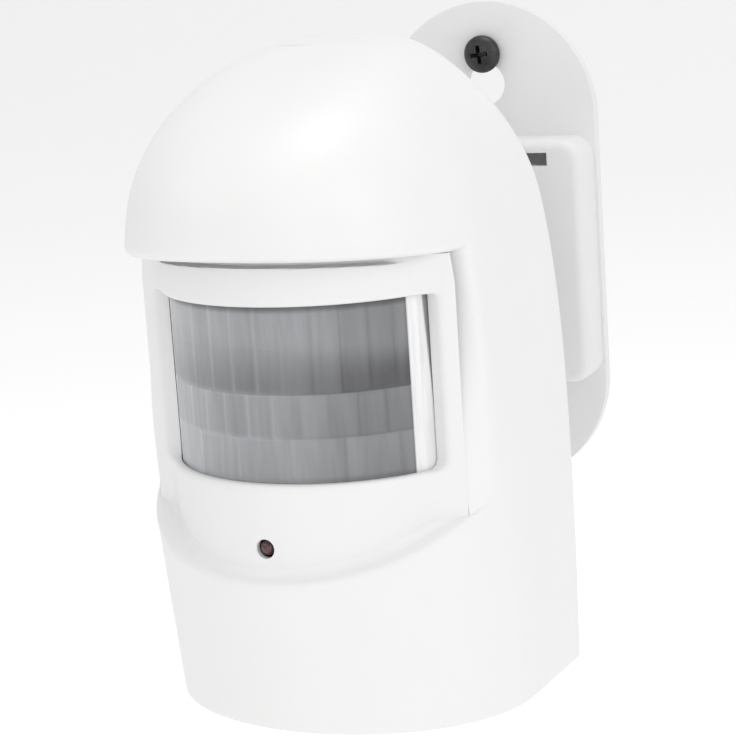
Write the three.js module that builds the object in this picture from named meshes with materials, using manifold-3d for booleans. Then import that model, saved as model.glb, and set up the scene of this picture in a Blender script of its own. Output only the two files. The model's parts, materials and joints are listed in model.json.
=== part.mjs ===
// Motion sensor on a swivelling wall bracket.
// Millimetres, +Z up. The front of the sensor looks along -Y and the wall is the plane y = 0
// of the finished object. Everything is first laid out in the sensor's own layout frame:
// x = 0 on the plane of symmetry, z = 0 at the bottom of the casing, wall at y = WALL_Y.
import * as THREE from 'three';
import { mergeVertices } from 'three/addons/utils/BufferGeometryUtils.js';
import Module from 'manifold-3d';

const wasm = await Module();
wasm.setup();

// ---------------------------------------------------------------- driving dimensions
const WALL_Y = 63.6;          // wall plane in the layout frame
const MOUNT_Z = 64.0;         // height of the mounting point in the layout frame
const GAP = 0.3;              // clearance between neighbouring pieces
const WALL_T = 2.2;           // casing wall thickness

const HALF_W = 32.67;         // largest half width of the casing
const WIDEST_Z = 20.07;       // height of the largest width
const ARCH_P = 3.26;          // exponent of the arched outline seen from the front
const BACK_Y = 15.0;          // flat back of the casing
const PART_Y = -6.0;          // plane in which the front and back housings meet
const CHIN_Y0 = -33.5;        // front of the casing at its bottom
const CHIN_Y1 = -40.2;        // front of the casing at the lip under the panel
const CHIN_Z = 27.0;          // height of that lip
const HOOD_Y = -44.5;         // front of the hood
const HOOD_Z = 85.7;          // height at which the hood starts to curve back
const APEX_Y = 6.4;           // top of the dome
const APEX_Z = 111.5;
const DOME_P = 2.01;
const REAR_Z = 82.6;          // height at which the back starts to curve forward
const REAR_P = 2.14;
const SIDE_Y0 = -7.0, SIDE_Y1 = -9.55;   // where the front of a section starts, low and high on the casing
const FRONT_P = 2.52;         // fullness of the front of a section, 2 at the very bottom
const CORNER_R = 0.8;         // rear vertical edges

const PANEL_R = 28.0;         // front panel, a vertical cylinder
const PANEL_CY = -10.0;       // its axis
const PANEL_T = 1.2;
const PANEL_Z0 = 24.8, PANEL_Z1 = 84.0;
const WINDOW_A = 63.5 * Math.PI / 180;
const WINDOW_Z0 = 43.4, WINDOW_Z1 = 72.2;
const LENS_R = 26.5, LENS_T = 0.7, LENS_A = 67 * Math.PI / 180;
const LENS_Z0 = 41.5, LENS_Z1 = 74.7;
const LED_Z = 32.8, LED_HOLE_R = 1.65, LED_R = 1.4;

const MOUTH_Y = -18.0;                   // side ledges of the opening in front of the panel
const RIM_Z = 78.35, RIM_SLOPE = 0.075;  // underside of the hood, at MOUTH_Y, rising to the front
const LIP_Z = 37.3, LIP_SLOPE = 0.445;   // ledge below the panel, at MOUTH_Y, falling to the front

const TILT_Y = 30.0, TILT_Z = 62.0;   // tilt axis, along X
const PAN_Y = 59.0;                   // pan axis, along Z
const PLATE_R = 22.0, PLATE_ZT = 91.05, PLATE_ZB = 40.82, PLATE_T = 2.0;
const BLOCK_Y = 54.0, BLOCK_W = 21.5, BLOCK_Z0 = 40.4, BLOCK_Z1 = 87.2;
const SLOT_W = 14.9, SLOT_H = 2.5, SLOT_TOP_Z = 82.3, SLOT_LOW_Z = 42.8;
const SCREW_Z = 103.1, SCREW_LOW_Z = 28.77;

const BAT_L = 45.5, BAT_W = 26.5, BAT_T = 17.5;        // block battery, without its terminals
const BAT_X0 = -25.2, BAT_Y1 = 12.4, BAT_Z0 = 4.5;
const DOOR_AXIS_Y = 14.0, DOOR_AXIS_Z = 5.5;

// ---------------------------------------------------------------- geometry helpers
const V = (x, y, z) => new THREE.Vector3(x, y, z);

function clean(geometry) {
  const g = geometry.clone();
  g.deleteAttribute('normal');
  g.deleteAttribute('uv');
  return mergeVertices(g, 1e-4);
}

function solid(geometry) {
  const g = clean(geometry);
  return new wasm.Manifold(new wasm.Mesh({
    numProp: 3,
    vertProperties: new Float32Array(g.attributes.position.array),
    triVerts: new Uint32Array(g.index.array),
  }));
}

function toGeometry(m) {
  const mesh = m.getMesh();
  const g = new THREE.BufferGeometry();
  g.setAttribute('position', new THREE.BufferAttribute(new Float32Array(mesh.vertProperties), 3));
  g.setIndex(new THREE.BufferAttribute(new Uint32Array(mesh.triVerts), 1));
  g.computeVertexNormals();
  return g;
}

const add = (a, ...bs) => bs.reduce((m, b) => m.add(b), a);
const cut = (a, ...bs) => bs.reduce((m, b) => m.subtract(b), a);

// an axis-aligned block from its two corners
function boxGeo(x0, x1, y0, y1, z0, z1) {
  const g = new THREE.BoxGeometry(x1 - x0, y1 - y0, z1 - z0);
  g.translate((x0 + x1) / 2, (y0 + y1) / 2, (z0 + z1) / 2);
  return g;
}
const box = (...a) => solid(boxGeo(...a));

// round bar along X, Y or Z from a to b
function barGeo(axis, r, a, b, u, v, seg = 20) {
  const g = new THREE.CylinderGeometry(r, r, b - a, seg);
  if (axis === 'x') { g.rotateZ(-Math.PI / 2); g.translate((a + b) / 2, u, v); }
  if (axis === 'y') { g.translate(u, (a + b) / 2, v); }
  if (axis === 'z') { g.rotateX(Math.PI / 2); g.translate(u, v, (a + b) / 2); }
  return g;
}
const bar = (...a) => solid(barGeo(...a));

// a turned piece: profile of [radius, along] pairs; the turning axis is Y by default
function turned(profile, seg = 20) {
  return new THREE.LatheGeometry(profile.map(([r, y]) => new THREE.Vector2(r, y)), seg);
}

// a closed skin through rings that all have the same number of points
function loft(rings) {
  const n = rings[0].length, pos = [], idx = [];
  for (const ring of rings) for (const p of ring) pos.push(...p);
  for (let i = 0; i + 1 < rings.length; i++) for (let j = 0; j < n; j++) {
    const a = i * n + j, b = i * n + (j + 1) % n, c = a + n, d = b + n;
    idx.push(a, b, d, a, d, c);
  }
  for (const [ring, base, flip] of [[rings[0], 0, true], [rings.at(-1), (rings.length - 1) * n, false]]) {
    const c = pos.length / 3;
    pos.push(...[0, 1, 2].map(k => ring.reduce((s, p) => s + p[k], 0) / n));
    for (let j = 0; j < n; j++) {
      const a = base + j, b = base + (j + 1) % n;
      if (flip) idx.push(c, b, a); else idx.push(c, a, b);
    }
  }
  const g = new THREE.BufferGeometry();
  g.setAttribute('position', new THREE.BufferAttribute(new Float32Array(pos), 3));
  g.setIndex(idx);
  return g;
}

// an outline in the X-Y plane pushed up from z0 to z1
function prismZ(shape, z0, z1, curveSegments = 12) {
  const g = new THREE.ExtrudeGeometry(shape, { depth: z1 - z0, bevelEnabled: false, curveSegments });
  g.translate(0, 0, z0);
  return g;
}
// an outline in the X-Z plane pushed back from y0 to y1, with an optional rounded front edge
function prismY(shape, y0, y1, bevel, curveSegments, bevelSegments = 2) {
  const g = new THREE.ExtrudeGeometry(shape, { depth: y1 - y0 - bevel, bevelEnabled: true, bevelThickness: bevel, bevelSize: bevel, bevelOffset: -bevel, bevelSegments, curveSegments });
  g.rotateX(Math.PI / 2);       // (x, y, z) -> (x, -z, y)
  g.translate(0, y1, 0);        // the sketch plane becomes the rear face
  return solid(g).intersect(box(-200, 200, y0 - 50, y1, -200, 200));
}
// an outline in the Y-Z plane pushed along X from x0 to x1
function prismX(shape, x0, x1, curveSegments = 12) {
  const g = new THREE.ExtrudeGeometry(shape, { depth: x1 - x0, bevelEnabled: false, curveSegments });
  const m = new THREE.Matrix4().set(0, 0, 1, 0, 1, 0, 0, 0, 0, 1, 0, 0, 0, 0, 0, 1);
  g.applyMatrix4(m);            // (u, v, w) -> (w, u, v)
  g.translate(x0, 0, 0);
  return g;
}
function polygon(points) {
  const s = new THREE.Shape();
  points.forEach(([u, v], i) => (i ? s.lineTo(u, v) : s.moveTo(u, v)));
  s.closePath();
  return s;
}

// part of an upright tube: radii r0 to r1 about (0, PANEL_CY), half angle a either side of the front
function tubeSector(r0, r1, a, z0, z1, seg) {
  const pts = [];
  for (let i = 0; i <= seg; i++) {
    const t = -a + 2 * a * i / seg;
    pts.push([r1 * Math.sin(t), PANEL_CY - r1 * Math.cos(t)]);
  }
  for (let i = seg; i >= 0; i--) {
    const t = -a + 2 * a * i / seg;
    pts.push([r0 * Math.sin(t), PANEL_CY - r0 * Math.cos(t)]);
  }
  return prismZ(polygon(pts), z0, z1);
}

// the front panel: a cylinder whose side margins flare outwards beyond 54.5 degrees
const PANEL_A = 67.6, FLARE_A = 54.5, FLARE = 0.0185;
function panelCurve(a, o) {
  const pts = [];
  for (let i = -16; i <= 16; i++) pts.push(i * 54 / 16);
  const angles = [...pts];
  for (let t = 57; t < a - 0.5; t += 3) angles.push(t, -t);
  angles.push(a, -a);
  return angles.sort((u, v) => u - v).filter(t => Math.abs(t) <= a + 1e-9).map(t => {
    const r = PANEL_R + o + FLARE * Math.max(0, Math.abs(t) - FLARE_A) ** 2;
    return [r * Math.sin(t * Math.PI / 180), PANEL_CY - r * Math.cos(t * Math.PI / 180)];
  });
}

// ---------------------------------------------------------------- casing form
// horizontal section of the casing at height z, drawn in by o
function superG(s, p) { return s <= 0 ? 1 : s >= 1 ? 0 : Math.pow(1 - Math.pow(s, p), 1 / p); }

function section(z, o, nFront, nCorner, inset = 0) {
  const top = APEX_Z - o;
  let w = z > WIDEST_Z
    ? (HALF_W - o) * superG((z - WIDEST_Z) / (top - WIDEST_Z), ARCH_P)
    : HALF_W - o - 0.3 * (1 - z / WIDEST_Z);
  const g = superG((z - HOOD_Z) / (top - HOOD_Z), DOME_P);
  const p = 2 + (FRONT_P - 2) * Math.min(1, Math.max(0, (z - 34) / 16));
  let yc = SIDE_Y0 + (SIDE_Y1 - SIDE_Y0) * Math.min(1, Math.max(0, (z - 40) / 37.6));
  const chin = k => CHIN_Y0 + (CHIN_Y1 - CHIN_Y0) * Math.min(1.3, k / CHIN_Z);
  let yf = z < 38 ? chin(z) : HOOD_Y + (chin(38) - HOOD_Y) * Math.max(0, 1 - (z - 38) / 20);
  yf += o;
  if (z > HOOD_Z) { yf = APEX_Y - (APEX_Y - HOOD_Y - o) * g; yc = APEX_Y - (APEX_Y - SIDE_Y1) * g; }
  const s = Math.min(1, Math.max(0, (z - REAR_Z) / (top - REAR_Z)));
  let yb = APEX_Y + (BACK_Y - o - APEX_Y) * superG(s, REAR_P);
  w -= inset; yf += inset; yb -= inset;
  const rear = Math.max(0.05, yb - yc), k = s * s;
  const rx = Math.min(w * 0.999, CORNER_R + (w - CORNER_R) * k), ry = Math.min(rear * 0.98, CORNER_R + (rear - CORNER_R) * k);
  const pow = v => Math.sign(v) * Math.pow(Math.abs(v), 2 / p);
  const pts = [];
  for (let i = 0; i <= nFront; i++) {
    const t = Math.PI * i / nFront;                       // right side, front, left side
    pts.push([w * pow(Math.cos(t)), yc - (yc - yf) * pow(Math.max(0, Math.sin(t))), z]);
  }
  for (let i = 0; i <= nCorner; i++) {                    // left rear corner
    const t = Math.PI / 2 * i / nCorner;
    pts.push([-w + rx - rx * Math.cos(t), yb - ry + ry * Math.sin(t), z]);
  }
  for (let i = nCorner; i >= 0; i--) {                    // right rear corner
    const t = Math.PI / 2 * i / nCorner;
    pts.push([w - rx + rx * Math.cos(t), yb - ry + ry * Math.sin(t), z]);
  }
  return pts.reverse();                                   // counter-clockwise seen from above
}

function casing(o, nFront, nCorner, zs) {
  const rings = zs.map(([z, inset]) => section(z, o, nFront, nCorner, inset));
  return solid(loft(rings));
}
const UP = [13, 27, 34, 42, 50, 64, 77.6, 82, 86, 90, 94, 97.5, 101, 104, 106.5];
const outer = casing(0, 26, 3, [[0, 0.5], [0.5, 0], ...UP.map(z => [z, 0]), [108.5, 0], [110, 0], [110.9, 0], [111.35, 0]]);
const inner = casing(WALL_T, 20, 2, [[WALL_T, 0], [33, 0], [50, 0], [77.6, 0], [82, 0], [88, 0], [93.5, 0], [98.5, 0], [102.2, 0], [105.2, 0], [107.4, 0], [108.6, 0], [109.1, 0]]);

const big = 90;
const frontHalf = box(-big, big, -big, PART_Y - GAP / 2, -big, 2 * big);
const backHalf = box(-big, big, PART_Y + GAP / 2, big, -big, 2 * big);

// ---------------------------------------------------------------- front housing
const nominalPanel = bar('z', PANEL_R + GAP, -10, 130, 0, PANEL_CY, 44);
const hollow = inner.intersect(nominalPanel.add(box(-big, big, -13, big, -20, 130)));
const panelPocket = bar('z', PANEL_R + GAP, PANEL_Z0 - GAP, PANEL_Z1 + GAP, 0, PANEL_CY, 44);
const mouth = solid(prismX(polygon([
  [MOUTH_Y, RIM_Z], [MOUTH_Y - 45, RIM_Z + 45 * RIM_SLOPE], [MOUTH_Y - 45, LIP_Z - 45 * LIP_SLOPE], [MOUTH_Y, LIP_Z],
]), -50, 50));
const rimPocket = solid(prismZ(polygon([...panelCurve(68.0, GAP), [29.3, -18.5], [-29.3, -18.5]]), 74, PANEL_Z1 + GAP))
  .intersect(casing(0.8, 26, 2, [[60, 0], [70, 0], [77.6, 0], [82, 0], [86, 0], [90, 0]]));
const SCREWS = [[-25.4, 38], [25.4, 38], [-20.5, 86], [20.5, 86]];
let frontHousing = cut(outer.intersect(frontHalf), hollow, mouth, panelPocket, rimPocket);
for (const [x, z] of SCREWS) {
  const post = bar('y', 3.2, -15, PART_Y - GAP / 2, x, z, 16);
  const rib = box(Math.min(x, x + Math.sign(x) * 7), Math.max(x, x + Math.sign(x) * 7), -15, PART_Y - GAP / 2, z - 1.2, z + 1.2)
    .intersect(outer);
  frontHousing = cut(add(frontHousing, post, rib), bar('y', 1.5, -13, 0, x, z, 12));
}

// ---------------------------------------------------------------- back housing
const earShape = (r, half) => {
  const s = new THREE.Shape();
  s.moveTo(BACK_Y - 1.2, TILT_Z - half);
  s.lineTo(TILT_Y, TILT_Z - r);
  s.absarc(TILT_Y, TILT_Z, r, -Math.PI / 2, Math.PI / 2, false);
  s.lineTo(BACK_Y - 1.2, TILT_Z + half);
  s.closePath();
  return s;
};
let backHousing = cut(outer.intersect(backHalf), inner);
// shelf above the battery, floor ribs under it
backHousing = add(backHousing,
  box(-40, 40, PART_Y + GAP / 2, BACK_Y - 1, 23.0, 24.4).intersect(outer),
  box(-16, -14, PART_Y + GAP / 2, BACK_Y - 1, 1, 4.2),
  box(14, 16, PART_Y + GAP / 2, BACK_Y - 1, 1, 4.2));
for (const [x, z] of SCREWS) {
  const rib = box(Math.min(x, x + Math.sign(x) * 7), Math.max(x, x + Math.sign(x) * 7), PART_Y + GAP / 2, BACK_Y - 1, z - 1.2, z + 1.2)
    .intersect(outer);
  backHousing = add(backHousing, bar('y', 3.4, PART_Y + GAP / 2, BACK_Y - 1, x, z, 16), bar('y', 4.4, 9.6, BACK_Y - 1, x, z, 16), rib);
}
const BOARD_POSTS = [[-17, 33], [17, 33], [-17, 76], [17, 76]];
for (const [x, z] of BOARD_POSTS) backHousing = backHousing.add(bar('y', 2.6, -2.1, BACK_Y - 1, x, z, 14));
// ears for the tilt joint
backHousing = add(backHousing,
  solid(prismX(earShape(7, 11), 4.3, 8.3)), solid(prismX(earShape(7, 11), -8.3, -4.3)));
backHousing = cut(backHousing, bar('x', 2.3, -12, 12, TILT_Y, TILT_Z, 20));
for (const [x, z] of SCREWS) backHousing = cut(backHousing, bar('y', 1.7, -20, 20, x, z, 14), bar('y', 3.2, 11.6, 20, x, z, 16));
for (const [x, z] of BOARD_POSTS) backHousing = backHousing.subtract(bar('y', 1.3, -4, 9, x, z, 10));
// battery opening with the two hinge sockets, wire hole in the shelf, slot of the switch
backHousing = cut(backHousing,
  box(-25.5, 25.5, 8, 20, 4.2, 22.6),
  bar('x', 0.9, -27.2, 27.2, DOOR_AXIS_Y, DOOR_AXIS_Z, 10),
  box(22.6, 28.6, -4.5, 3.2, 20, 26),
  box(-40, -27, -1.1, 1.7, 57.2, 63.8));

// ---------------------------------------------------------------- panel, lens, retainer
const led = bar('y', LED_HOLE_R, -60, -20, 0, LED_Z, 16);
const ledRing = bar('y', 3.4, -37.2, -33.2, 0, LED_Z, 16);
const belowLip = solid(prismX(polygon([
  [10, LIP_Z + GAP + LIP_SLOPE * (10 - MOUTH_Y)], [-60, LIP_Z + GAP + LIP_SLOPE * (-60 - MOUTH_Y)], [-60, -20], [10, -20],
]), -50, 50));
const margins = solid(prismZ(polygon([...panelCurve(PANEL_A, 0), ...panelCurve(PANEL_A, -PANEL_T).reverse()]), PANEL_Z0, PANEL_Z1))
  .subtract(belowLip)
  .intersect(casing(1.15, 26, 2, [[20, 0], [27, 0], [34, 0], [42, 0], [50, 0], [60, 0], [70, 0], [77.6, 0], [82, 0], [86, 0], [90, 0]]));
const foot = solid(prismZ(polygon([...panelCurve(54, 0), ...panelCurve(54, -PANEL_T).reverse()]), PANEL_Z0, PANEL_Z1 - 4));
let panel = margins.add(foot);
panel = cut(panel.add(ledRing), led,
  solid(tubeSector(20, 36, WINDOW_A, WINDOW_Z0, WINDOW_Z1, 24)),
  bar('y', 2.2, -36.1, -30, 0, LED_Z, 16));
const lens = tubeSector(LENS_R - LENS_T, LENS_R, LENS_A, LENS_Z0, LENS_Z1, 28);
let retainer = solid(tubeSector(24.0, LENS_R - LENS_T - GAP, 70 * Math.PI / 180, 39.5, 76.7, 24));
retainer = retainer.subtract(solid(tubeSector(20, 30, 61 * Math.PI / 180, 45.0, 71.2, 20)));

// ---------------------------------------------------------------- wall bracket
function stadium(r, z0, z1) {
  const s = new THREE.Shape();
  s.moveTo(r, z0);
  s.lineTo(r, z1);
  s.absarc(0, z1, r, 0, Math.PI, false);
  s.lineTo(-r, z0);
  s.absarc(0, z0, r, Math.PI, 2 * Math.PI, false);
  return s;
}
function roundedRect(x0, x1, z0, z1, r) {
  const s = new THREE.Shape();
  s.moveTo(x1 - r, z0);
  s.absarc(x1 - r, z0 + r, r, -Math.PI / 2, 0, false);
  s.absarc(x1 - r, z1 - r, r, 0, Math.PI / 2, false);
  s.absarc(x0 + r, z1 - r, r, Math.PI / 2, Math.PI, false);
  s.absarc(x0 + r, z0 + r, r, Math.PI, 1.5 * Math.PI, false);
  return s;
}
let bracket = prismY(stadium(PLATE_R, PLATE_ZB, PLATE_ZT), WALL_Y - PLATE_T, WALL_Y, 0.8, 14, 1);
bracket = bracket.add(prismY(roundedRect(-BLOCK_W, BLOCK_W, BLOCK_Z0, BLOCK_Z1, 4), BLOCK_Y, WALL_Y, 2, 3));
for (const z of [SLOT_LOW_Z, SLOT_TOP_Z]) {
  const inside = z === SLOT_LOW_Z ? [z, z + 5.2] : [z + SLOT_H - 5.2, z + SLOT_H];
  bracket = cut(bracket,
    box(-SLOT_W, SLOT_W, BLOCK_Y - 2, BLOCK_Y + 3, z, z + SLOT_H),
    box(-19, 19, BLOCK_Y + 2, WALL_Y + 2, inside[0], inside[1]));
}
bracket = cut(bracket,
  box(4.2, 19, BLOCK_Y + 2, WALL_Y + 2, 51, 76.6),
  box(-19, -4.2, BLOCK_Y + 2, WALL_Y + 2, 51, 76.6),
  bar('z', 1.8, BLOCK_Z0 - 2, 86.5, 0, PAN_Y, 16),
  bar('y', 4.0, 50, 70, 0, 97.3, 20),
  bar('y', 2.0, 50, 70, 0, SCREW_Z, 16),
  box(-2.0, 2.0, 50, 70, 97.3, SCREW_Z),
  bar('y', 2.1, 50, 70, 0, SCREW_LOW_Z, 16));

// ---------------------------------------------------------------- swivel yoke
function tongue(z0, z1) {
  const s = new THREE.Shape();
  s.moveTo(-4.2, 42.5);
  s.lineTo(4.2, 42.5);
  s.lineTo(4.2, PAN_Y);
  s.absarc(0, PAN_Y, 4.2, 0, Math.PI, false);
  s.closePath();
  return solid(prismZ(s, z0, z1, 10));
}
const tongueLow = [SLOT_LOW_Z + GAP, SLOT_LOW_Z + SLOT_H - GAP];
const tongueTop = [SLOT_TOP_Z + GAP, SLOT_TOP_Z + SLOT_H - GAP];
const lug = new THREE.Shape();
lug.moveTo(42.5, TILT_Z - 12);
lug.lineTo(42.5, TILT_Z + 12);
lug.lineTo(TILT_Y, TILT_Z + 6.5);
lug.absarc(TILT_Y, TILT_Z, 6.5, Math.PI / 2, 1.5 * Math.PI, false);
lug.closePath();
let yoke = add(box(-6, 6, 41.2, 44.5, tongueLow[0], tongueTop[1]), tongue(...tongueLow), tongue(...tongueTop),
  solid(prismX(lug, -4, 4)));
yoke = cut(yoke, bar('x', 2.3, -12, 12, TILT_Y, TILT_Z, 20), bar('z', 1.8, 30, 100, 0, PAN_Y, 16));

// ---------------------------------------------------------------- pins and screws
// pan head with a cross recess; the head rests on y = 0 and looks along -Y, the shank runs along +Y
function screw(headR, headH, shankR, length, cross, tip = 1.6, seg = 14) {
  const s = solid(turned([
    [0, -headH], [headR * 0.7, -headH * 0.85], [headR, -headH * 0.3], [headR, 0],
    [shankR, 0], [shankR, length - tip], [shankR * 0.25, length], [0, length],
  ], seg));
  const c = headR * cross, d = headH * 0.62, t = headR * 0.13;
  return cut(s, box(-c, c, -headH - 1, -headH + d, -t, t), box(-t, t, -headH - 1, -headH + d, -c, c));
}
const panPin = turned([[0, 38.7], [1.9, 38.7], [2.2, 39.0], [2.2, 40.1], [1.5, 40.1], [1.5, 85.8], [1.1, 86.2], [0, 86.2]], 14);
panPin.rotateX(Math.PI / 2);   // the turning axis becomes Z
const clip = new THREE.Shape();
clip.absarc(0, 0, 2.65, Math.PI / 2 + 0.75, Math.PI / 2 - 0.75 + 2 * Math.PI, false);
clip.absarc(0, 0, 1.8, Math.PI / 2 - 0.75 + 2 * Math.PI, Math.PI / 2 + 0.75, true);
clip.closePath();

const nutShape = polygon([...Array(6)].map((_, i) => [TILT_Y + 4.04 * Math.cos(i * Math.PI / 3), TILT_Z + 4.04 * Math.sin(i * Math.PI / 3)]));
const nut = solid(prismX(nutShape, -11.8, -8.6)).subtract(bar('x', 2.3, -14, -6, TILT_Y, TILT_Z, 18));

// ---------------------------------------------------------------- electronics
const BOARD_Y0 = -4.0, BOARD_Y1 = -2.4;
let board = box(-21, 21, BOARD_Y0, BOARD_Y1, 26, 80);
for (const [x, z] of BOARD_POSTS) board = board.subtract(bar('y', 1.3, -6, 0, x, z, 12));
const FACE = BOARD_Y0 - GAP;    // where a component on the front of the board starts

const pirCan = turned([[0, 0], [5.0, 0], [5.0, 0.6], [4.55, 0.6], [4.55, 3.9], [4.2, 4.2], [0, 4.2]], 24);
pirCan.rotateX(Math.PI);       // turning axis Y, growing along -Y
const pirFilter = boxGeo(-2.6, 2.6, -0.4, 0, -2.0, 2.0);

let ic = box(-5, 5, -1.75, -0.35, -2, 2);
for (let i = 0; i < 7; i++) {
  const x = -3.81 + i * 1.27;
  ic = add(ic, box(x - 0.2, x + 0.2, -0.9, 0, -3.0, -1.9), box(x - 0.2, x + 0.2, -0.9, 0, 1.9, 3.0));
}
const capacitor = () => {
  const g = turned([[0, 0], [2.3, 0], [2.5, 0.3], [2.5, 0.9], [2.35, 1.1], [2.5, 1.3], [2.5, 6.7], [2.2, 7], [0, 7]], 18);
  g.rotateX(Math.PI);
  return g;
};
const canShape = new THREE.Shape();
canShape.absarc(3, 0, 2, -Math.PI / 2, Math.PI / 2, false);
canShape.absarc(-3, 0, 2, Math.PI / 2, 1.5 * Math.PI, false);
canShape.closePath();
const resonator = prismY(canShape, -3.4, 0, 0.5, 5, 1);

class Coil extends THREE.Curve {
  getPoint(t, target = new THREE.Vector3()) {
    const a = 2 * Math.PI * 4.5 * t;
    return target.set(-5 + 10 * t, -1.9 + 1.6 * Math.cos(a + Math.PI), 1.6 * Math.sin(a));
  }
}
const round = (r, n) => polygon([...Array(n)].map((_, i) => [r * Math.cos(2 * Math.PI * i / n), r * Math.sin(2 * Math.PI * i / n)]));
const coil = new THREE.ExtrudeGeometry(round(0.35, 5), { steps: 45, extrudePath: new Coil(), bevelEnabled: false });

const wire = (points, r = 0.65, steps = 20) => new THREE.ExtrudeGeometry(round(r, 7), {
  steps, extrudePath: new THREE.CatmullRomCurve3(points.map(p => V(...p)), false, 'centripetal'), bevelEnabled: false,
});
const leadRed = wire([[25.0, -2.6, 11.4], [26.1, -2.6, 11.4], [27.1, -2.6, 13.4], [27.0, -2.6, 18], [26.4, -1.9, 24], [23.6, -0.2, 27.2], [17.5, 1.4, 28.0], [13.4, 1.0, 28.0], [13, -0.4, 28.0], [13, -2.0, 28.0]]);
const leadBlack = wire([[25.0, 0.8, 11.4], [26.1, 0.8, 11.4], [27.1, 0.8, 13.4], [27.0, 0.8, 18], [26.2, 1.5, 24], [23.0, 2.9, 27.2], [15, 4.0, 28.0], [9.4, 2.6, 28.0], [9, -0.2, 28.0], [9, -2.0, 28.0]]);

const ledBody = turned([[0, 5.4], [0.6, 5.25], [1.1, 4.8], [LED_R, 4.1], [LED_R, 1.0], [1.8, 1.0], [1.8, 0], [0, 0]].reverse(), 16);
ledBody.rotateX(Math.PI);

// ---------------------------------------------------------------- battery, connector, door, switch
const BAT_ZC = BAT_Z0 + BAT_T / 2, BAT_YC = BAT_Y1 - BAT_W / 2;
const batSection = (() => {     // outline in Y-Z
  const s = new THREE.Shape(), y0 = BAT_Y1 - BAT_W, y1 = BAT_Y1, z0 = BAT_Z0, z1 = BAT_Z0 + BAT_T, r = 2;
  s.moveTo(y1 - r, z0);
  s.absarc(y1 - r, z0 + r, r, -Math.PI / 2, 0, false);
  s.absarc(y1 - r, z1 - r, r, 0, Math.PI / 2, false);
  s.absarc(y0 + r, z1 - r, r, Math.PI / 2, Math.PI, false);
  s.absarc(y0 + r, z0 + r, r, Math.PI, 1.5 * Math.PI, false);
  return s;
})();
const batEnd = BAT_X0 + BAT_L;
let battery = solid(prismX(batSection, BAT_X0, batEnd, 4));
battery = add(battery, bar('x', 2.8, batEnd - 0.5, batEnd + 2.8, BAT_YC - 6.35, BAT_ZC, 18), bar('x', 4.1, batEnd - 0.5, batEnd + 2.8, BAT_YC + 6.35, BAT_ZC, 18));
let snap = box(batEnd + GAP, batEnd + 4.3, BAT_YC - 12, BAT_YC + 12, BAT_ZC - 6, BAT_ZC + 6);
snap = cut(snap, bar('x', 3.2, batEnd - 1, batEnd + 3.3, BAT_YC - 6.35, BAT_ZC, 16), bar('x', 4.5, batEnd - 1, batEnd + 3.3, BAT_YC + 6.35, BAT_ZC, 16));

const doorSection = new THREE.Shape();
doorSection.moveTo(15, DOOR_AXIS_Z);
doorSection.lineTo(15, 22.3);
doorSection.lineTo(13, 22.3);
doorSection.lineTo(13, DOOR_AXIS_Z);
doorSection.absarc(DOOR_AXIS_Y, DOOR_AXIS_Z, 1.0, Math.PI, 2 * Math.PI, false);
let door = solid(prismX(doorSection, -25.2, 25.2, 6));
door = add(door, bar('x', 0.6, -26.8, -25, DOOR_AXIS_Y, DOOR_AXIS_Z, 10), bar('x', 0.6, 25, 26.8, DOOR_AXIS_Y, DOOR_AXIS_Z, 10));
// finger scoop under the upper edge
door = cut(door, solid(barGeo('x', 2.2, -6, 6, 16.2, 20.2, 20)));

const slider = add(box(-31.2, -27.8, -0.8, 1.4, 57.5, 60.5), box(-28.3, -27.6, -2.0, 2.6, 55.2, 62.8));

// ---------------------------------------------------------------- assembly
const abs = (color, roughness = 0.5) => new THREE.MeshStandardMaterial({ color, roughness, metalness: 0 });
const metal = (color, roughness = 0.3) => new THREE.MeshStandardMaterial({ color, roughness, metalness: 1 });

const object = new THREE.Group();
object.position.set(0, -WALL_Y, -MOUNT_Z);

function piece(parent, name, geometry, material, at) {
  const g = clean(geometry);
  g.computeVertexNormals();
  const mesh = new THREE.Mesh(g, material);
  mesh.name = name;
  if (at) mesh.position.set(...at);
  parent.add(mesh);
  return mesh;
}
const part = (parent, name, manifold, material, at) => piece(parent, name, toGeometry(manifold), material, at);

// fixed to the wall
const wallSide = new THREE.Group();
part(wallSide, 'wall_bracket', bracket, abs(0xeeedea));
const wallScrew = screw(3.6, 2.4, 1.6, 22, 0.72);
part(wallSide, 'wall_screw_upper', wallScrew, metal(0x3a3a3c, 0.45), [0, WALL_Y - PLATE_T - GAP, SCREW_Z]);
part(wallSide, 'wall_screw_lower', screw(3.6, 2.4, 1.6, 22, 0.72), metal(0x3a3a3c, 0.45), [0, WALL_Y - PLATE_T - GAP, SCREW_LOW_Z]);
piece(wallSide, 'pan_pin', panPin, metal(0xb9bbbe), [0, PAN_Y, 0]);
piece(wallSide, 'pan_pin_clip', prismZ(clip, 0, 0.7, 7), metal(0x8d8f92), [0, PAN_Y, tongueLow[1] + GAP]);
object.add(wallSide);

// turns about the pan pin
const yokeSide = new THREE.Group();
part(yokeSide, 'swivel_yoke', yoke, abs(0xeeedea));
object.add(yokeSide);

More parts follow.
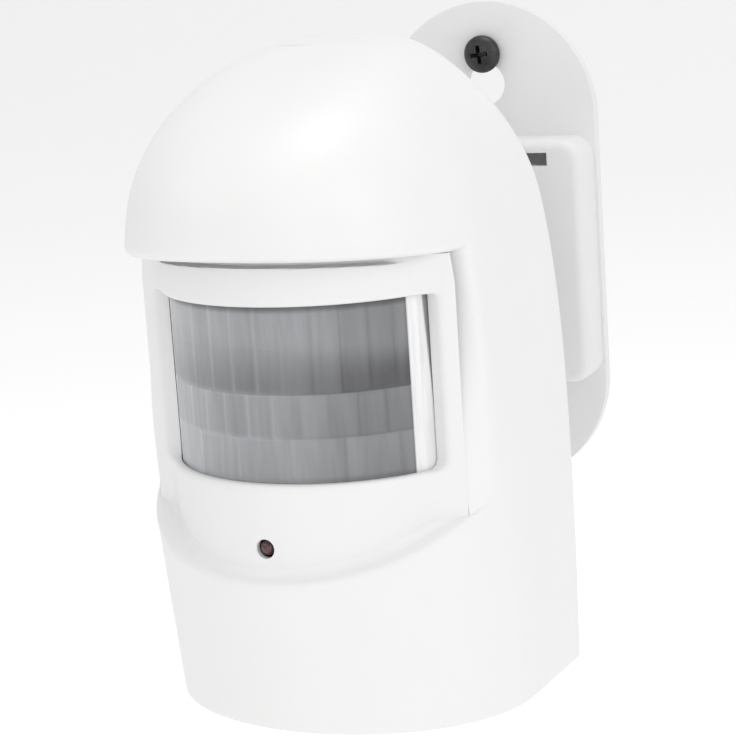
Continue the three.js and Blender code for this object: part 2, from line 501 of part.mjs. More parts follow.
// tilts about the tilt screw
const head = new THREE.Group();
part(head, 'back_housing', backHousing, abs(0xf1f0ee));
part(head, 'front_housing', frontHousing, abs(0xf1f0ee));
part(head, 'front_panel', panel, abs(0xeeeded));
piece(head, 'fresnel_lens', lens, abs(0xa6aab0, 0.35));
part(head, 'lens_retainer', retainer, abs(0xe6e5e2));
const tiltScrew = piece(head, 'tilt_screw', toGeometry(screw(3.5, 2.4, 1.95, 22, 0.72, 0.8)), metal(0xb9bbbe), [8.6, TILT_Y, TILT_Z]);
tiltScrew.rotation.z = Math.PI / 2;   // head at +X, shank along -X
part(head, 'tilt_nut', nut, metal(0xb9bbbe));
SCREWS.forEach(([x, z], i) => {
  const m = piece(head, 'case_screw_' + (i + 1), toGeometry(screw(2.8, 1.9, 1.2, 24.2, 0.7, 1.6, 12)), metal(0xb9bbbe), [x, 11.9, z]);
  m.rotation.z = Math.PI;             // head at the back, shank to the front
});
part(head, 'circuit_board', board, abs(0x2f6b3c, 0.4));
BOARD_POSTS.slice(0, 4).forEach(([x, z], i) => {
  piece(head, 'board_screw_' + (i + 1), toGeometry(screw(2.2, 1.4, 1.0, 12.4, 0.7, 1.0, 10)), metal(0xb9bbbe), [x, FACE, z]);
});
piece(head, 'pir_can', pirCan, metal(0xc7c3b8, 0.25), [0, FACE, 58]);
piece(head, 'pir_filter', pirFilter, abs(0x1c1c20, 0.15), [0, FACE - 4.5, 58]);
part(head, 'control_ic', ic, abs(0x1b1b1d, 0.5), [-11, FACE, 44]);
piece(head, 'capacitor_1', capacitor(), abs(0x20233a, 0.35), [12, FACE, 42]);
piece(head, 'capacitor_2', capacitor(), abs(0x20233a, 0.35), [12, FACE, 50]);
part(head, 'resonator_can', resonator, metal(0xc9c9cb, 0.3), [-12, FACE, 69]);
piece(head, 'antenna_coil', coil, metal(0xb5713c, 0.35), [11, FACE, 68]);
piece(head, 'indicator_led', ledBody, abs(0x5a0d0d, 0.2), [0, -32.6, LED_Z]);
piece(head, 'led_lead_1', boxGeo(-1.52, -1.02, -32.3, FACE, LED_Z - 0.25, LED_Z + 0.25), metal(0xc9c9cb));
piece(head, 'led_lead_2', boxGeo(1.02, 1.52, -32.3, FACE, LED_Z - 0.25, LED_Z + 0.25), metal(0xc9c9cb));
piece(head, 'slide_switch_body', boxGeo(-27.3, -19.5, BOARD_Y1 + GAP, 2.6, 54.6, 66.4), metal(0xb9bbbe));
part(head, 'battery', battery, abs(0x2b2b2f, 0.4));
part(head, 'battery_connector', snap, abs(0x1a1a1c, 0.6));
piece(head, 'battery_lead_red', leadRed, abs(0xa31616, 0.5));
piece(head, 'battery_lead_black', leadBlack, abs(0x161617, 0.5));
part(head, 'battery_door', door, abs(0xf1f0ee));
part(head, 'switch_slider', slider, abs(0x202022, 0.5));
object.add(head);

export default object;
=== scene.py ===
import json
import math
import bmesh
import bpy
import numpy as np
from mathutils import Matrix, Vector


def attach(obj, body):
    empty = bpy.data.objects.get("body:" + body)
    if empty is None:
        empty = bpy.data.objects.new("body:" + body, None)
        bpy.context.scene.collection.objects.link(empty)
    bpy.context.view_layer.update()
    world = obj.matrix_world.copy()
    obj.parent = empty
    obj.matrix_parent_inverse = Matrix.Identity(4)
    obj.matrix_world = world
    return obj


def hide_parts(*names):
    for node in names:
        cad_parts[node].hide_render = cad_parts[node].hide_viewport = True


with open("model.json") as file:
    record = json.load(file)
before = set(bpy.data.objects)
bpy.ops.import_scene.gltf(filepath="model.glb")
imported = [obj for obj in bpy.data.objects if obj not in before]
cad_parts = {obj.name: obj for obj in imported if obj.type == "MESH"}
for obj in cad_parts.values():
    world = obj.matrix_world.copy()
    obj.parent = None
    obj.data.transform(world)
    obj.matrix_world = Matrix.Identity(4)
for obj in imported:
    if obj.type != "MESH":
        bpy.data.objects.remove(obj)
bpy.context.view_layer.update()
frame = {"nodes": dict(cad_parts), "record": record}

# ------------------------------------------------------------------ layout frame
# Shapes are laid out in millimetres with x = 0 on the plane of symmetry, z = 0 at the
# bottom of the casing and the wall at y = 63.6. The row frame is the same, moved.
OX, OY, OZ = 0.0, -63.6, -64.0


def row(co):
    return (np.asarray(co, float) + [OX, OY, OZ]) / 1000.0


# ------------------------------------------------------------------ camera
CAM = dict(az=26.64418, el=11.544956, D=402.65577, tx=1.379293, tz=54.380983, roll=-3.85688, f=2325.69)


def make_camera():
    a, e = math.radians(CAM["az"]), math.radians(CAM["el"])
    back = np.array([math.sin(a) * math.cos(e), -math.cos(a) * math.cos(e), math.sin(e)])
    tgt = np.array([CAM["tx"] * math.cos(a), CAM["tx"] * math.sin(a), CAM["tz"]])
    pos = tgt + back * CAM["D"]
    fwd = -back
    right = np.array([math.cos(a), math.sin(a), 0.0])
    up = np.cross(right, fwd)
    r = math.radians(CAM["roll"])
    cx = right * math.cos(r) + up * math.sin(r)
    cy = -right * math.sin(r) + up * math.cos(r)
    data = bpy.data.cameras.new("camera")
    data.sensor_width = 36.0
    data.lens = 36.0 * CAM["f"] / 736.0
    data.clip_start, data.clip_end = 0.01, 20
    cam = bpy.data.objects.new("camera", data)
    bpy.context.scene.collection.objects.link(cam)
    p = row(pos)
    m = Matrix.Identity(4)
    for i in range(3):
        m[i][0], m[i][1], m[i][2], m[i][3] = cx[i], cy[i], -fwd[i], p[i]
    cam.matrix_world = m
    bpy.context.scene.camera = cam
    return cam


make_camera()


# ------------------------------------------------------------------ materials
def material(name, color, rough, metal=0.0, grain=0.0, grain_scale=4000.0, mottle=0.0, mottle_scale=60.0,
             rough_var=0.0, ior=1.5, coat=0.0, coat_rough=0.1, stretch=None, bump_mm=0.02, edge_wear=0.0,
             transmission=0.0, subsurface=0.0):
    """A node-based finish: fine grain in the bump, slow mottling in the colour and roughness, worn edges."""
    m = bpy.data.materials.new(name)
    m.use_nodes = True
    nt = m.node_tree
    N, L = nt.nodes, nt.links
    N.clear()
    out = N.new("ShaderNodeOutputMaterial")
    bs = N.new("ShaderNodeBsdfPrincipled")
    L.new(bs.outputs[0], out.inputs[0])
    bs.inputs["Metallic"].default_value = metal
    bs.inputs["IOR"].default_value = ior
    bs.inputs["Coat Weight"].default_value = coat
    bs.inputs["Coat Roughness"].default_value = coat_rough
    bs.inputs["Transmission Weight"].default_value = transmission
    bs.inputs["Subsurface Weight"].default_value = subsurface
    if subsurface:
        bs.inputs["Subsurface Scale"].default_value = 0.0015
        bs.inputs["Subsurface Radius"].default_value = (1.0, 0.9, 0.8)
    tc = N.new("ShaderNodeTexCoord")
    mp = N.new("ShaderNodeMapping")
    L.new(tc.outputs["Object"], mp.inputs[0])
    if stretch:
        mp.inputs["Scale"].default_value = stretch
    col = (*color, 1.0)
    bs.inputs["Base Color"].default_value = col
    bs.inputs["Roughness"].default_value = rough
    src = None
    if mottle:
        n = N.new("ShaderNodeTexNoise")
        n.inputs["Scale"].default_value = mottle_scale
        n.inputs["Detail"].default_value = 4
        L.new(mp.outputs[0], n.inputs["Vector"])
        cr = N.new("ShaderNodeValToRGB")
        cr.color_ramp.elements[0].position = 0.3
        cr.color_ramp.elements[1].position = 0.7
        cr.color_ramp.elements[0].color = (*[c * (1 - mottle) for c in color], 1)
        cr.color_ramp.elements[1].color = (*[min(1, c * (1 + mottle * 0.5)) for c in color], 1)
        L.new(n.outputs["Fac"], cr.inputs[0])
        src = cr.outputs[0]
        if rough_var:
            mr = N.new("ShaderNodeMapRange")
            mr.inputs["To Min"].default_value = max(0.02, rough - rough_var)
            mr.inputs["To Max"].default_value = min(1, rough + rough_var)
            L.new(n.outputs["Fac"], mr.inputs[0])
            L.new(mr.outputs[0], bs.inputs["Roughness"])
    if edge_wear:
        geo = N.new("ShaderNodeNewGeometry")
        er = N.new("ShaderNodeMapRange")
        er.inputs["From Min"].default_value = 0.50
        er.inputs["From Max"].default_value = 0.62
        L.new(geo.outputs["Pointiness"], er.inputs[0])
        mx = N.new("ShaderNodeMix")
        mx.data_type = "RGBA"
        mx.blend_type = "MIX"
        mul = N.new("ShaderNodeMath")
        mul.operation = "MULTIPLY"
        mul.inputs[1].default_value = edge_wear
        L.new(er.outputs[0], mul.inputs[0])
        L.new(mul.outputs[0], mx.inputs[0])
        if src is None:
            mx.inputs[6].default_value = col
        else:
            L.new(src, mx.inputs[6])
        mx.inputs[7].default_value = (*[min(1, c * 1.25 + 0.05) for c in color], 1)
        src = mx.outputs[2]
    if src is not None:
        L.new(src, bs.inputs["Base Color"])
    if grain:
        n = N.new("ShaderNodeTexNoise")
        n.inputs["Scale"].default_value = grain_scale
        n.inputs["Detail"].default_value = 3
        L.new(mp.outputs[0], n.inputs["Vector"])
        b = N.new("ShaderNodeBump")
        b.inputs["Strength"].default_value = grain
        b.inputs["Distance"].default_value = bump_mm / 1000
        L.new(n.outputs["Fac"], b.inputs["Height"])
        L.new(b.outputs[0], bs.inputs["Normal"])
    return m


MAT = {
    "casing": material("casing", (0.775, 0.775, 0.772), 0.42, grain=0.35, grain_scale=2600, mottle=0.012, mottle_scale=45, rough_var=0.04, bump_mm=0.03),
    "panel": material("panel", (0.77, 0.77, 0.768), 0.45, grain=0.3, grain_scale=2600, mottle=0.012, mottle_scale=60, rough_var=0.04, bump_mm=0.03),
    "bracket": material("bracket", (0.74, 0.74, 0.742), 0.5, grain=0.45, grain_scale=1800, mottle=0.02, mottle_scale=50, rough_var=0.05, bump_mm=0.04),
    "inner_white": material("inner_white", (0.70, 0.70, 0.695), 0.6, grain=0.4, grain_scale=1500, mottle=0.03, rough_var=0.05),
    "dark_screw": material("dark_screw", (0.050, 0.050, 0.052), 0.38, metal=0.75, grain=0.5, grain_scale=2500, mottle=0.35, mottle_scale=500, rough_var=0.12, edge_wear=0.6),
    "steel": material("steel", (0.62, 0.62, 0.63), 0.30, metal=1.0, grain=0.3, grain_scale=3000, mottle=0.08, mottle_scale=350, rough_var=0.08, edge_wear=0.2),
    "tin": material("tin", (0.60, 0.585, 0.55), 0.28, metal=1.0, grain=0.2, grain_scale=1500, mottle=0.06, mottle_scale=300, rough_var=0.08),
    "filter": material("filter", (0.02, 0.02, 0.026), 0.12, mottle=0.1, coat=0.6, grain=0.05),
    "board": material("board", (0.03, 0.16, 0.06), 0.35, mottle=0.12, mottle_scale=220, coat=0.4, grain=0.3, grain_scale=900),
    "black_plastic": material("black_plastic", (0.022, 0.022, 0.023), 0.55, mottle=0.15, mottle_scale=200, grain=0.5, grain_scale=2200),
    "sleeve": material("sleeve", (0.03, 0.035, 0.09), 0.3, mottle=0.1, coat=0.3, grain=0.15),
    "copper": material("copper", (0.65, 0.29, 0.12), 0.3, metal=1.0, mottle=0.1, mottle_scale=400, grain=0.1),
    "wire_red": material("wire_red", (0.50, 0.02, 0.02), 0.45, mottle=0.08, grain=0.2),
    "wire_black": material("wire_black", (0.02, 0.02, 0.02), 0.45, mottle=0.08, grain=0.2),
    "battery_wrap": material("battery_wrap", (0.045, 0.05, 0.065), 0.35, metal=0.5, mottle=0.1, mottle_scale=120, grain=0.15),
}


def lens_material():
    m = bpy.data.materials.new("lens")
    m.use_nodes = True
    nt = m.node_tree
    N, L = nt.nodes, nt.links
    bs = N["Principled BSDF"]
    at = N.new("ShaderNodeVertexColor")
    at.layer_name = "tone"
    tc = N.new("ShaderNodeTexCoord")
    mp = N.new("ShaderNodeMapping")
    mp.inputs["Scale"].default_value = (900, 900, 90)
    L.new(tc.outputs["Object"], mp.inputs[0])
    n = N.new("ShaderNodeTexNoise")
    n.inputs["Scale"].default_value = 1.0
    n.inputs["Detail"].default_value = 3
    L.new(mp.outputs[0], n.inputs["Vector"])
    mr = N.new("ShaderNodeMapRange")
    mr.inputs["From Min"].default_value = 0.3
    mr.inputs["From Max"].default_value = 0.7
    mr.inputs["To Min"].default_value = 0.90
    mr.inputs["To Max"].default_value = 1.06
    L.new(n.outputs["Fac"], mr.inputs[0])
    mx = N.new("ShaderNodeMix")
    mx.data_type = "RGBA"
    mx.blend_type = "MULTIPLY"
    mx.inputs[0].default_value = 1.0
    L.new(at.outputs["Color"], mx.inputs[6])
    L.new(mr.outputs[0], mx.inputs[7])
    L.new(mx.outputs[2], bs.inputs["Base Color"])
    bs.inputs["Roughness"].default_value = 0.34
    bs.inputs["IOR"].default_value = 1.5
    b = N.new("ShaderNodeBump")
    b.inputs["Strength"].default_value = 0.25
    b.inputs["Distance"].default_value = 0.00003
    L.new(n.outputs["Fac"], b.inputs["Height"])
    L.new(b.outputs[0], bs.inputs["Normal"])
    return m


MAT["lens"] = lens_material()


def led_material():
    m = material("led_red", (0.05, 0.004, 0.005), 0.14, mottle=0.2, mottle_scale=900, coat=0.8, coat_rough=0.05, grain=0.05)
    return m


MAT["led_red"] = led_material()

for node, ob in frame["nodes"].items():
    slot = next(s["material_slot"] for s in frame["record"]["subparts"] if s["node"] == node)
    if ob.material_slots:
        for s in ob.material_slots:
            s.material = MAT[slot]
    else:
        ob.data.materials.append(MAT[slot])


# ------------------------------------------------------------------ mesh helpers
def link(ob):
    bpy.context.scene.collection.objects.link(ob)
    return ob


def mesh(name, verts, faces, mat, sharp=38.0):
    me = bpy.data.meshes.new(name)
    me.from_pydata([tuple(v) for v in row(verts)], [], [tuple(int(i) for i in f) for f in faces])
    me.materials.append(MAT[mat])
    ob = link(bpy.data.objects.new(name, me))
    tidy(ob, sharp)
    return ob


def tidy(ob, sharp=38.0, merge=2e-6):
    """Merges doubled points, turns faces outwards, shades smooth with hard edges over the given angle."""
    bm = bmesh.new()
    bm.from_mesh(ob.data)
    if merge:
        bmesh.ops.remove_doubles(bm, verts=bm.verts, dist=merge)
        bmesh.ops.dissolve_degenerate(bm, edges=bm.edges, dist=1e-7)
        loose = [v for v in bm.verts if not v.link_faces]
        bmesh.ops.delete(bm, geom=loose, context="VERTS")
    bmesh.ops.recalc_face_normals(bm, faces=bm.faces)
    a = math.radians(sharp)
    for e in bm.edges:
        e.smooth = len(e.link_faces) == 2 and e.calc_face_angle(0) < a
    for f in bm.faces:
        f.smooth = True
    bm.to_mesh(ob.data)
    bm.free()


def apply(ob):
    """Turns the modifiers of a piece into its mesh."""
    dg = bpy.context.evaluated_depsgraph_get()
    me = bpy.data.meshes.new_from_object(ob.evaluated_get(dg))
    ob.modifiers.clear()
    ob.data = me
    return ob


def boolean(ob, tools, op="DIFFERENCE"):
    for t in tools:
        md = ob.modifiers.new("cut", "BOOLEAN")
        md.operation = op
        md.solver = "EXACT"
        md.object = t
    apply(ob)
    for t in tools:
        me = t.data
        bpy.data.objects.remove(t)
        bpy.data.meshes.remove(me)
    return ob


def prism(name, outline, axis, a, b, mat="casing"):
    """An outline in the two other axes (in X, Y, Z order), pushed along axis from a to b."""
    n = len(outline)
    k = "xyz".index(axis)
    others = [i for i in range(3) if i != k]
    v = []
    for h in (a, b):
        for u, w in outline:
            p = [0, 0, 0]
            p[k], p[others[0]], p[others[1]] = h, u, w
            v.append(p)
    f = [list(range(n)), list(range(n, 2 * n))[::-1]] + [[i, (i + 1) % n, n + (i + 1) % n, n + i] for i in range(n)]
    return mesh(name, v, f, mat)


def block(name, x0, x1, y0, y1, z0, z1, mat="casing"):
    return prism(name, [(x0, y0), (x1, y0), (x1, y1), (x0, y1)], "z", z0, z1, mat)


def rod(name, axis, r, a, b, u, w, n=48, mat="casing"):
    return prism(name, [(u + r * math.cos(2 * math.pi * i / n), w + r * math.sin(2 * math.pi * i / n)) for i in range(n)], axis, a, b, mat)


def bevel(ob, width, segments=3, angle=30.0, sharp=38.0):
    md = ob.modifiers.new("bevel", "BEVEL")
    md.width = width / 1000
    md.segments = segments
    md.limit_method = "ANGLE"
    md.angle_limit = math.radians(angle)
    md.harden_normals = False
    apply(ob)
    tidy(ob, sharp)
    return ob


def spin(name, profile, origin, direction, mat, n=48, sharp=38.0):
    """Turned piece: profile of (radius, along) pairs, turned about direction through origin."""
    d = Vector(direction).normalized()
    a = d.orthogonal().normalized()
    b = d.cross(a)
    v, f = [], []
    rings = []
    for r, h in profile:
        if r < 1e-9:
            rings.append([len(v)])
            v.append(Vector(origin) + d * h)
        else:
            rings.append(list(range(len(v), len(v) + n)))
            for i in range(n):
                t = 2 * math.pi * i / n
                v.append(Vector(origin) + d * h + (a * math.cos(t) + b * math.sin(t)) * r)
    for p, q in zip(rings, rings[1:]):
        if len(p) == 1 and len(q) == 1:
            continue
        for i in range(n):
            j = (i + 1) % n
            if len(p) == 1:
                f.append([p[0], q[i], q[j]])
            elif len(q) == 1:
                f.append([p[i], q[0], p[j]])
            else:
                f.append([p[i], q[i], q[j], p[j]])
    return mesh(name, [tuple(x) for x in v], f, mat, sharp)


# ------------------------------------------------------------------ casing form
HALF_W, WIDEST_Z, ARCH_P = 32.67, 20.07, 3.26
BACK_Y, SEAM_Y = 15.0, -6.0
CHIN_Y0, CHIN_Y1, CHIN_Z = -33.5, -40.2, 27.0
HOOD_Y, HOOD_Z = -44.5, 85.7
APEX_Y, APEX_Z, DOME_P = 6.4, 111.5, 2.01
REAR_Z, REAR_P = 82.6, 2.14
SIDE_Y0, SIDE_Y1, FRONT_P, CORNER_R = -7.0, -9.55, 2.52, 0.8
MOUTH_Y, RIM_Z, RIM_SLOPE, LIP_Z, LIP_SLOPE = -18.0, 78.35, 0.075, 37.3, 0.445
PANEL_R, PANEL_CY, PANEL_T = 28.0, -10.0, 1.2
PANEL_A, FLARE_A, FLARE = 67.6, 54.5, 0.0185


def panel_radius(a):
    return PANEL_R + FLARE * max(0.0, abs(a) - FLARE_A) ** 2


def sg(s, p):
    s = min(max(s, 0.0), 1.0)
    return (1 - s ** p) ** (1 / p)


def sstep(a, b, x):
    t = min(max((x - a) / (b - a), 0.0), 1.0)
    return t * t * (3 - 2 * t)


def form(z, o=0.0):
    """Half width, and the front, middle and rear of the casing's section at height z, drawn in by o."""
    top = APEX_Z - o
    w = (HALF_W - o) * sg((z - WIDEST_Z) / (top - WIDEST_Z), ARCH_P) if z > WIDEST_Z else HALF_W - o - 0.3 * (1 - z / WIDEST_Z)
    p = 2 + (FRONT_P - 2) * sstep(30, 54, z)
    g = sg((z - HOOD_Z) / (top - HOOD_Z), DOME_P)
    yc = SIDE_Y0 + (SIDE_Y1 - SIDE_Y0) * sstep(35, 82, z)
    chin = CHIN_Y0 + (CHIN_Y1 - CHIN_Y0) * z / CHIN_Z
    yf = chin + (HOOD_Y - chin) * sstep(30, 60, z) + o
    if z > HOOD_Z:
        yf = APEX_Y - (APEX_Y - HOOD_Y - o) * g
        yc = APEX_Y - (APEX_Y - SIDE_Y1) * g
    s = min(1.0, max(0.0, (z - REAR_Z) / (top - REAR_Z)))
    yb = APEX_Y + (BACK_Y - o - APEX_Y) * sg(s, REAR_P)
    k = s * s
    rear = max(0.02, yb - yc)
    rx = min(w * 0.9995, CORNER_R + (w - CORNER_R) * k)
    ry = min(rear * 0.995, CORNER_R + (rear - CORNER_R) * k)
    return w, p, yf, yc, yb, rx, ry


T = 0.5 * math.pi * (1 - np.linspace(0, 1, 500) ** 1.0)


def half_front(z, inset=0.0, seam=SEAM_Y):
    """The right half of a section ahead of the seam, from the seam to the centre of the front."""
    w, p, yf, yc, yb, rx, ry = form(z)
    w, yf = max(w - inset, 1e-3), yf + inset
    t = T[::-1]
    x = w * np.cos(t) ** (2 / p)
    y = yc - (yc - yf) * np.sin(t) ** (2 / p)
    pts = np.stack([x, y], 1)
    if yc >= seam:
        i = int(np.argmax(y <= seam))
        if y[i] > seam:
            return np.repeat([[0.0, seam]], 8, 0)
        if i > 0:
            a = (seam - y[i]) / (y[i - 1] - y[i] + 1e-12)
            first = pts[i] + (pts[i - 1] - pts[i]) * a
        else:
            first = pts[0]
        pts = np.vstack([[first], pts[i:]])
    else:
        n = max(2, int((seam - yc) / 0.3) + 2)
        side = np.stack([np.full(n, w), np.linspace(seam, yc, n)], 1)
        pts = np.vstack([side[:-1], pts])
    return pts


def along(pts):
    d = np.r_[0, np.cumsum(np.linalg.norm(np.diff(pts, axis=0), axis=1))]
    return d


def at(pts, d, s):
    return np.stack([np.interp(s, d, pts[:, 0]), np.interp(s, d, pts[:, 1])], -1)


def share_of_y(z, y):
    """The share of the half section's length at which it reaches y."""
    pts = half_front(z)
    d = along(pts)
    i = int(np.argmax(pts[:, 1] <= y))
    a = (y - pts[i, 1]) / (pts[i - 1, 1] - pts[i, 1] + 1e-12)
    return (d[i] + (d[i - 1] - d[i]) * a) / d[-1]


D_SIDE, D_LIP, D_RIM = 1.5, 1.0, 2.0     # how far the rounded edges reach over the outer skin
Z_LO, Z_HI = LIP_Z, RIM_Z
S_LO, S_HI = share_of_y(Z_LO - D_LIP, MOUTH_Y + D_SIDE), share_of_y(Z_HI + D_RIM, MOUTH_Y + D_SIDE)


def mouth_share(z):
    if z <= Z_LO - D_LIP:
        return S_LO
    if z >= Z_HI + D_RIM:
        return S_HI
    return share_of_y(z, MOUTH_Y + D_SIDE)


def col_point(z, c, inset=0.0):
    """Point on the outer skin at height z; c runs 0..1 from the seam to the mouth's side, then 1..2 to the centre of the front."""
    pts = half_front(z, inset)
    d = along(pts)
    m = mouth_share(z)
    s = m * c if c <= 1 else m + (1 - m) * (c - 1)
    p = at(pts, d, s * d[-1])
    return np.array([p[0], p[1], z])


def lip_plane(y):
    return LIP_Z + LIP_SLOPE * (min(y, MOUTH_Y) - MOUTH_Y)


def rim_plane(y):
    return RIM_Z - RIM_SLOPE * (min(y, MOUTH_Y) - MOUTH_Y)


def solve(plane, c, off):
    z = plane(-30) + off
    for _ in range(12):
        z = plane(col_point(z, c)[1]) + off
    return z


SEAM_ROWS = []                           # heights of the front shell's points along the seam


def front_housing():
    nA, nB = 14, 34
    cs = np.r_[np.linspace(0, 1, nA + 1), 1 + np.linspace(0, 1, nB + 1)[1:]]
    nc = len(cs)
    ztop = APEX_Z
    # height where the seam meets the top of the dome
    lo, hi = HOOD_Z, APEX_Z
    for _ in range(50):
        m = (lo + hi) / 2
        if form(m)[2] < SEAM_Y - 0.02:
            lo = m
        else:
            hi = m
    ztop = lo
    zb = [solve(lip_plane, max(c, 1), -D_LIP) for c in cs]
    zr = [solve(rim_plane, max(c, 1), D_RIM) for c in cs]
    rb = 0.6
    base = [(rb * (1 - math.sin(t)), rb * (1 - math.cos(t))) for t in np.linspace(0, math.pi / 2, 5)]
    # base: (inset, z) from the bottom face outwards
    base = [(rb - rb * math.sin(t), rb - rb * math.cos(t)) for t in np.linspace(0, math.pi / 2, 5)]
    nC, nM, nH = 30, 40, 56
    V, F = [], []

    def put(p):
        V.append(p)
        return len(V) - 1

    def mirror(p):
        return np.array([-p[0], p[1], p[2]])

    full = list(range(nc)) + list(range(nc - 2, -1, -1))     # column index, right to centre to left
    side = [1] * nc + [-1] * (nc - 1)

    def rows_of(ci):
        c = cs[ci]
        rows = [("base", ins, z) for ins, z in base]
        pts = [col_point(z, c, ins) for _, ins, z in rows]
        z0 = base[-1][1]
        chin = [col_point(z, c) for z in np.linspace(z0, zb[ci], nC + 1)[1:]]
        mid = [col_point(z, c) for z in np.linspace(zb[ci], zr[ci], nM + 1)[1:-1]] if c <= 1 else []
        u = np.linspace(0, 1, nH + 1)
        # even steps along the dome's curve
        fz = HOOD_Z + (APEX_Z - HOOD_Z) * np.sin(np.linspace(0, 1, 400) * math.asin((ztop - HOOD_Z) / (APEX_Z - HOOD_Z)))
        path = np.r_[np.linspace(zr[ci], HOOD_Z, 80)[:-1], fz]
        dist = np.r_[np.linspace(0, HOOD_Z - zr[ci], 80)[:-1], HOOD_Z - zr[ci] + np.linspace(0, 1, 400) * 48.0]
        hood = [col_point(z, c) for z in np.interp(u * dist[-1], dist, path)]
        return pts, chin, mid, hood

    cache = [rows_of(ci) for ci in range(nc)]
    nb = len(base)
    ids = {}
    for k, (ci, sd) in enumerate(zip(full, side)):
        pts, chin, mid, hood = cache[ci]
        for part, rows in (("low", pts + chin), ("mid", mid), ("hood", hood)):
            for r, p in enumerate(rows):
                ids[(part, k, r)] = put(p if sd > 0 else mirror(p))
    K = len(full)
    nlow = nb + nC
    for k in range(K - 1):
        for r in range(nlow - 1):
            F.append([ids[("low", k, r)], ids[("low", k + 1, r)], ids[("low", k + 1, r + 1)], ids[("low", k, r + 1)]])
        for r in range(nH):
            F.append([ids[("hood", k, r)], ids[("hood", k + 1, r)], ids[("hood", k + 1, r + 1)], ids[("hood", k, r + 1)]])
        if k < nA or k >= K - 1 - nA:
            def mid_id(kk, r):
                if r == -1:
                    return ids[("low", kk, nlow - 1)]
                if r == nM - 1:
                    return ids[("hood", kk, 0)]
                return ids[("mid", kk, r)]
            for r in range(-1, nM - 1):
                F.append([mid_id(k, r), mid_id(k + 1, r), mid_id(k + 1, r + 1), mid_id(k, r + 1)])
    # bottom face, and the sliver that closes the top of the dome along the seam
    F.append([ids[("low", k, 0)] for k in range(K)])
    F.append([ids[("hood", k, nH)] for k in range(K)])
    SEAM_ROWS.extend(V[ids[("hood", 0, r)]][2] for r in range(nH + 1))
    # the mouth's edge, as a closed run of points: bottom right to left, up the left, top left to right, down the right
    kR, kL = nA, K - 1 - nA
    loop = [ids[("low", k, nlow - 1)] for k in range(kR, kL + 1)]
    edge = []
    def pocket_at(ang, x_lim, plane, gap):
        """A point on the run round the panel, held inside the casing at the sides."""
        r = panel_radius(ang) + gap
        x, y = r * math.sin(math.radians(ang)), PANEL_CY - r * math.cos(math.radians(ang))
        return np.array([math.copysign(min(abs(x), x_lim), x), y, plane(y)])

    def edge_point(c, sd, plane):
        z = plane(-30)
        for _ in range(12):
            if c <= 1:
                pts = half_front(plane(MOUTH_Y))
                d = along(pts)
                p = at(pts, d, share_of_y(plane(MOUTH_Y), MOUTH_Y) * d[-1])
                z = plane(MOUTH_Y)
            else:
                pts = half_front(z)
                d = along(pts)
                m = share_of_y(z, MOUTH_Y)
                s = m + (1 - m) * (c - 1)
                p = at(pts, d, s * d[-1])
                z = plane(p[1])
        return np.array([sd * p[0], p[1], z])

    def pocket_point(e, plane, gap):
        th = math.degrees(math.atan2(abs(e[0]), -(e[1] - PANEL_CY)))
        th *= 67.9 / math.degrees(math.atan2(edge_c[0], -(edge_c[1] - PANEL_CY)))
        return pocket_at(math.copysign(th, e[0]), edge_c[0] - 1.0, plane, gap)

    edge_c = edge_point(1.0, 1, lip_plane)
    E, Q, B = [], [], []
    for k in range(kR, kL + 1):
        e = edge_point(cs[full[k]], side[k], lip_plane)
        E.append(e)
        Q.append(pocket_point(e, lip_plane, 0.03))
        B.append(np.array([0, 0, -3.0]))
    zcorn = [V[ids[("low", kR, nlow - 1)]][2], V[ids[("hood", kR, 0)]][2]]

    def side_run(k, rs, sd):
        for r in rs:
            v = ids[("mid", k, r)]
            z = (V[v][2] - zcorn[0]) / (zcorn[1] - zcorn[0]) * (RIM_Z - LIP_Z) + LIP_Z
            pts = half_front(z)
            d = along(pts)
            p = at(pts, d, share_of_y(z, MOUTH_Y) * d[-1])
            loop.append(v)
            E.append(np.array([sd * p[0], p[1], z]))
            # the ledge beside the panel: level with it at the lip, sunk behind it towards the hood
            deep = sstep(LIP_Z, LIP_Z + 38.0, z)
            y = yq_end + (-19.4 - yq_end) * deep - 0.25 * sstep(0, 3, z - LIP_Z) * (1 - deep)
            Q.append(np.array([sd * (28.3 - 1.6 * deep), y, z]))
            B.append(np.array([0, 3.0, 0]))

    yq_end = Q[-1][1]
    side_run(kL, range(nM - 1), -1)
    edge_c = edge_point(1.0, 1, rim_plane)
    for k in range(kL, kR - 1, -1):
        loop.append(ids[("hood", k, 0)])
        e = edge_point(cs[full[k]], side[k], rim_plane)
        E.append(e)
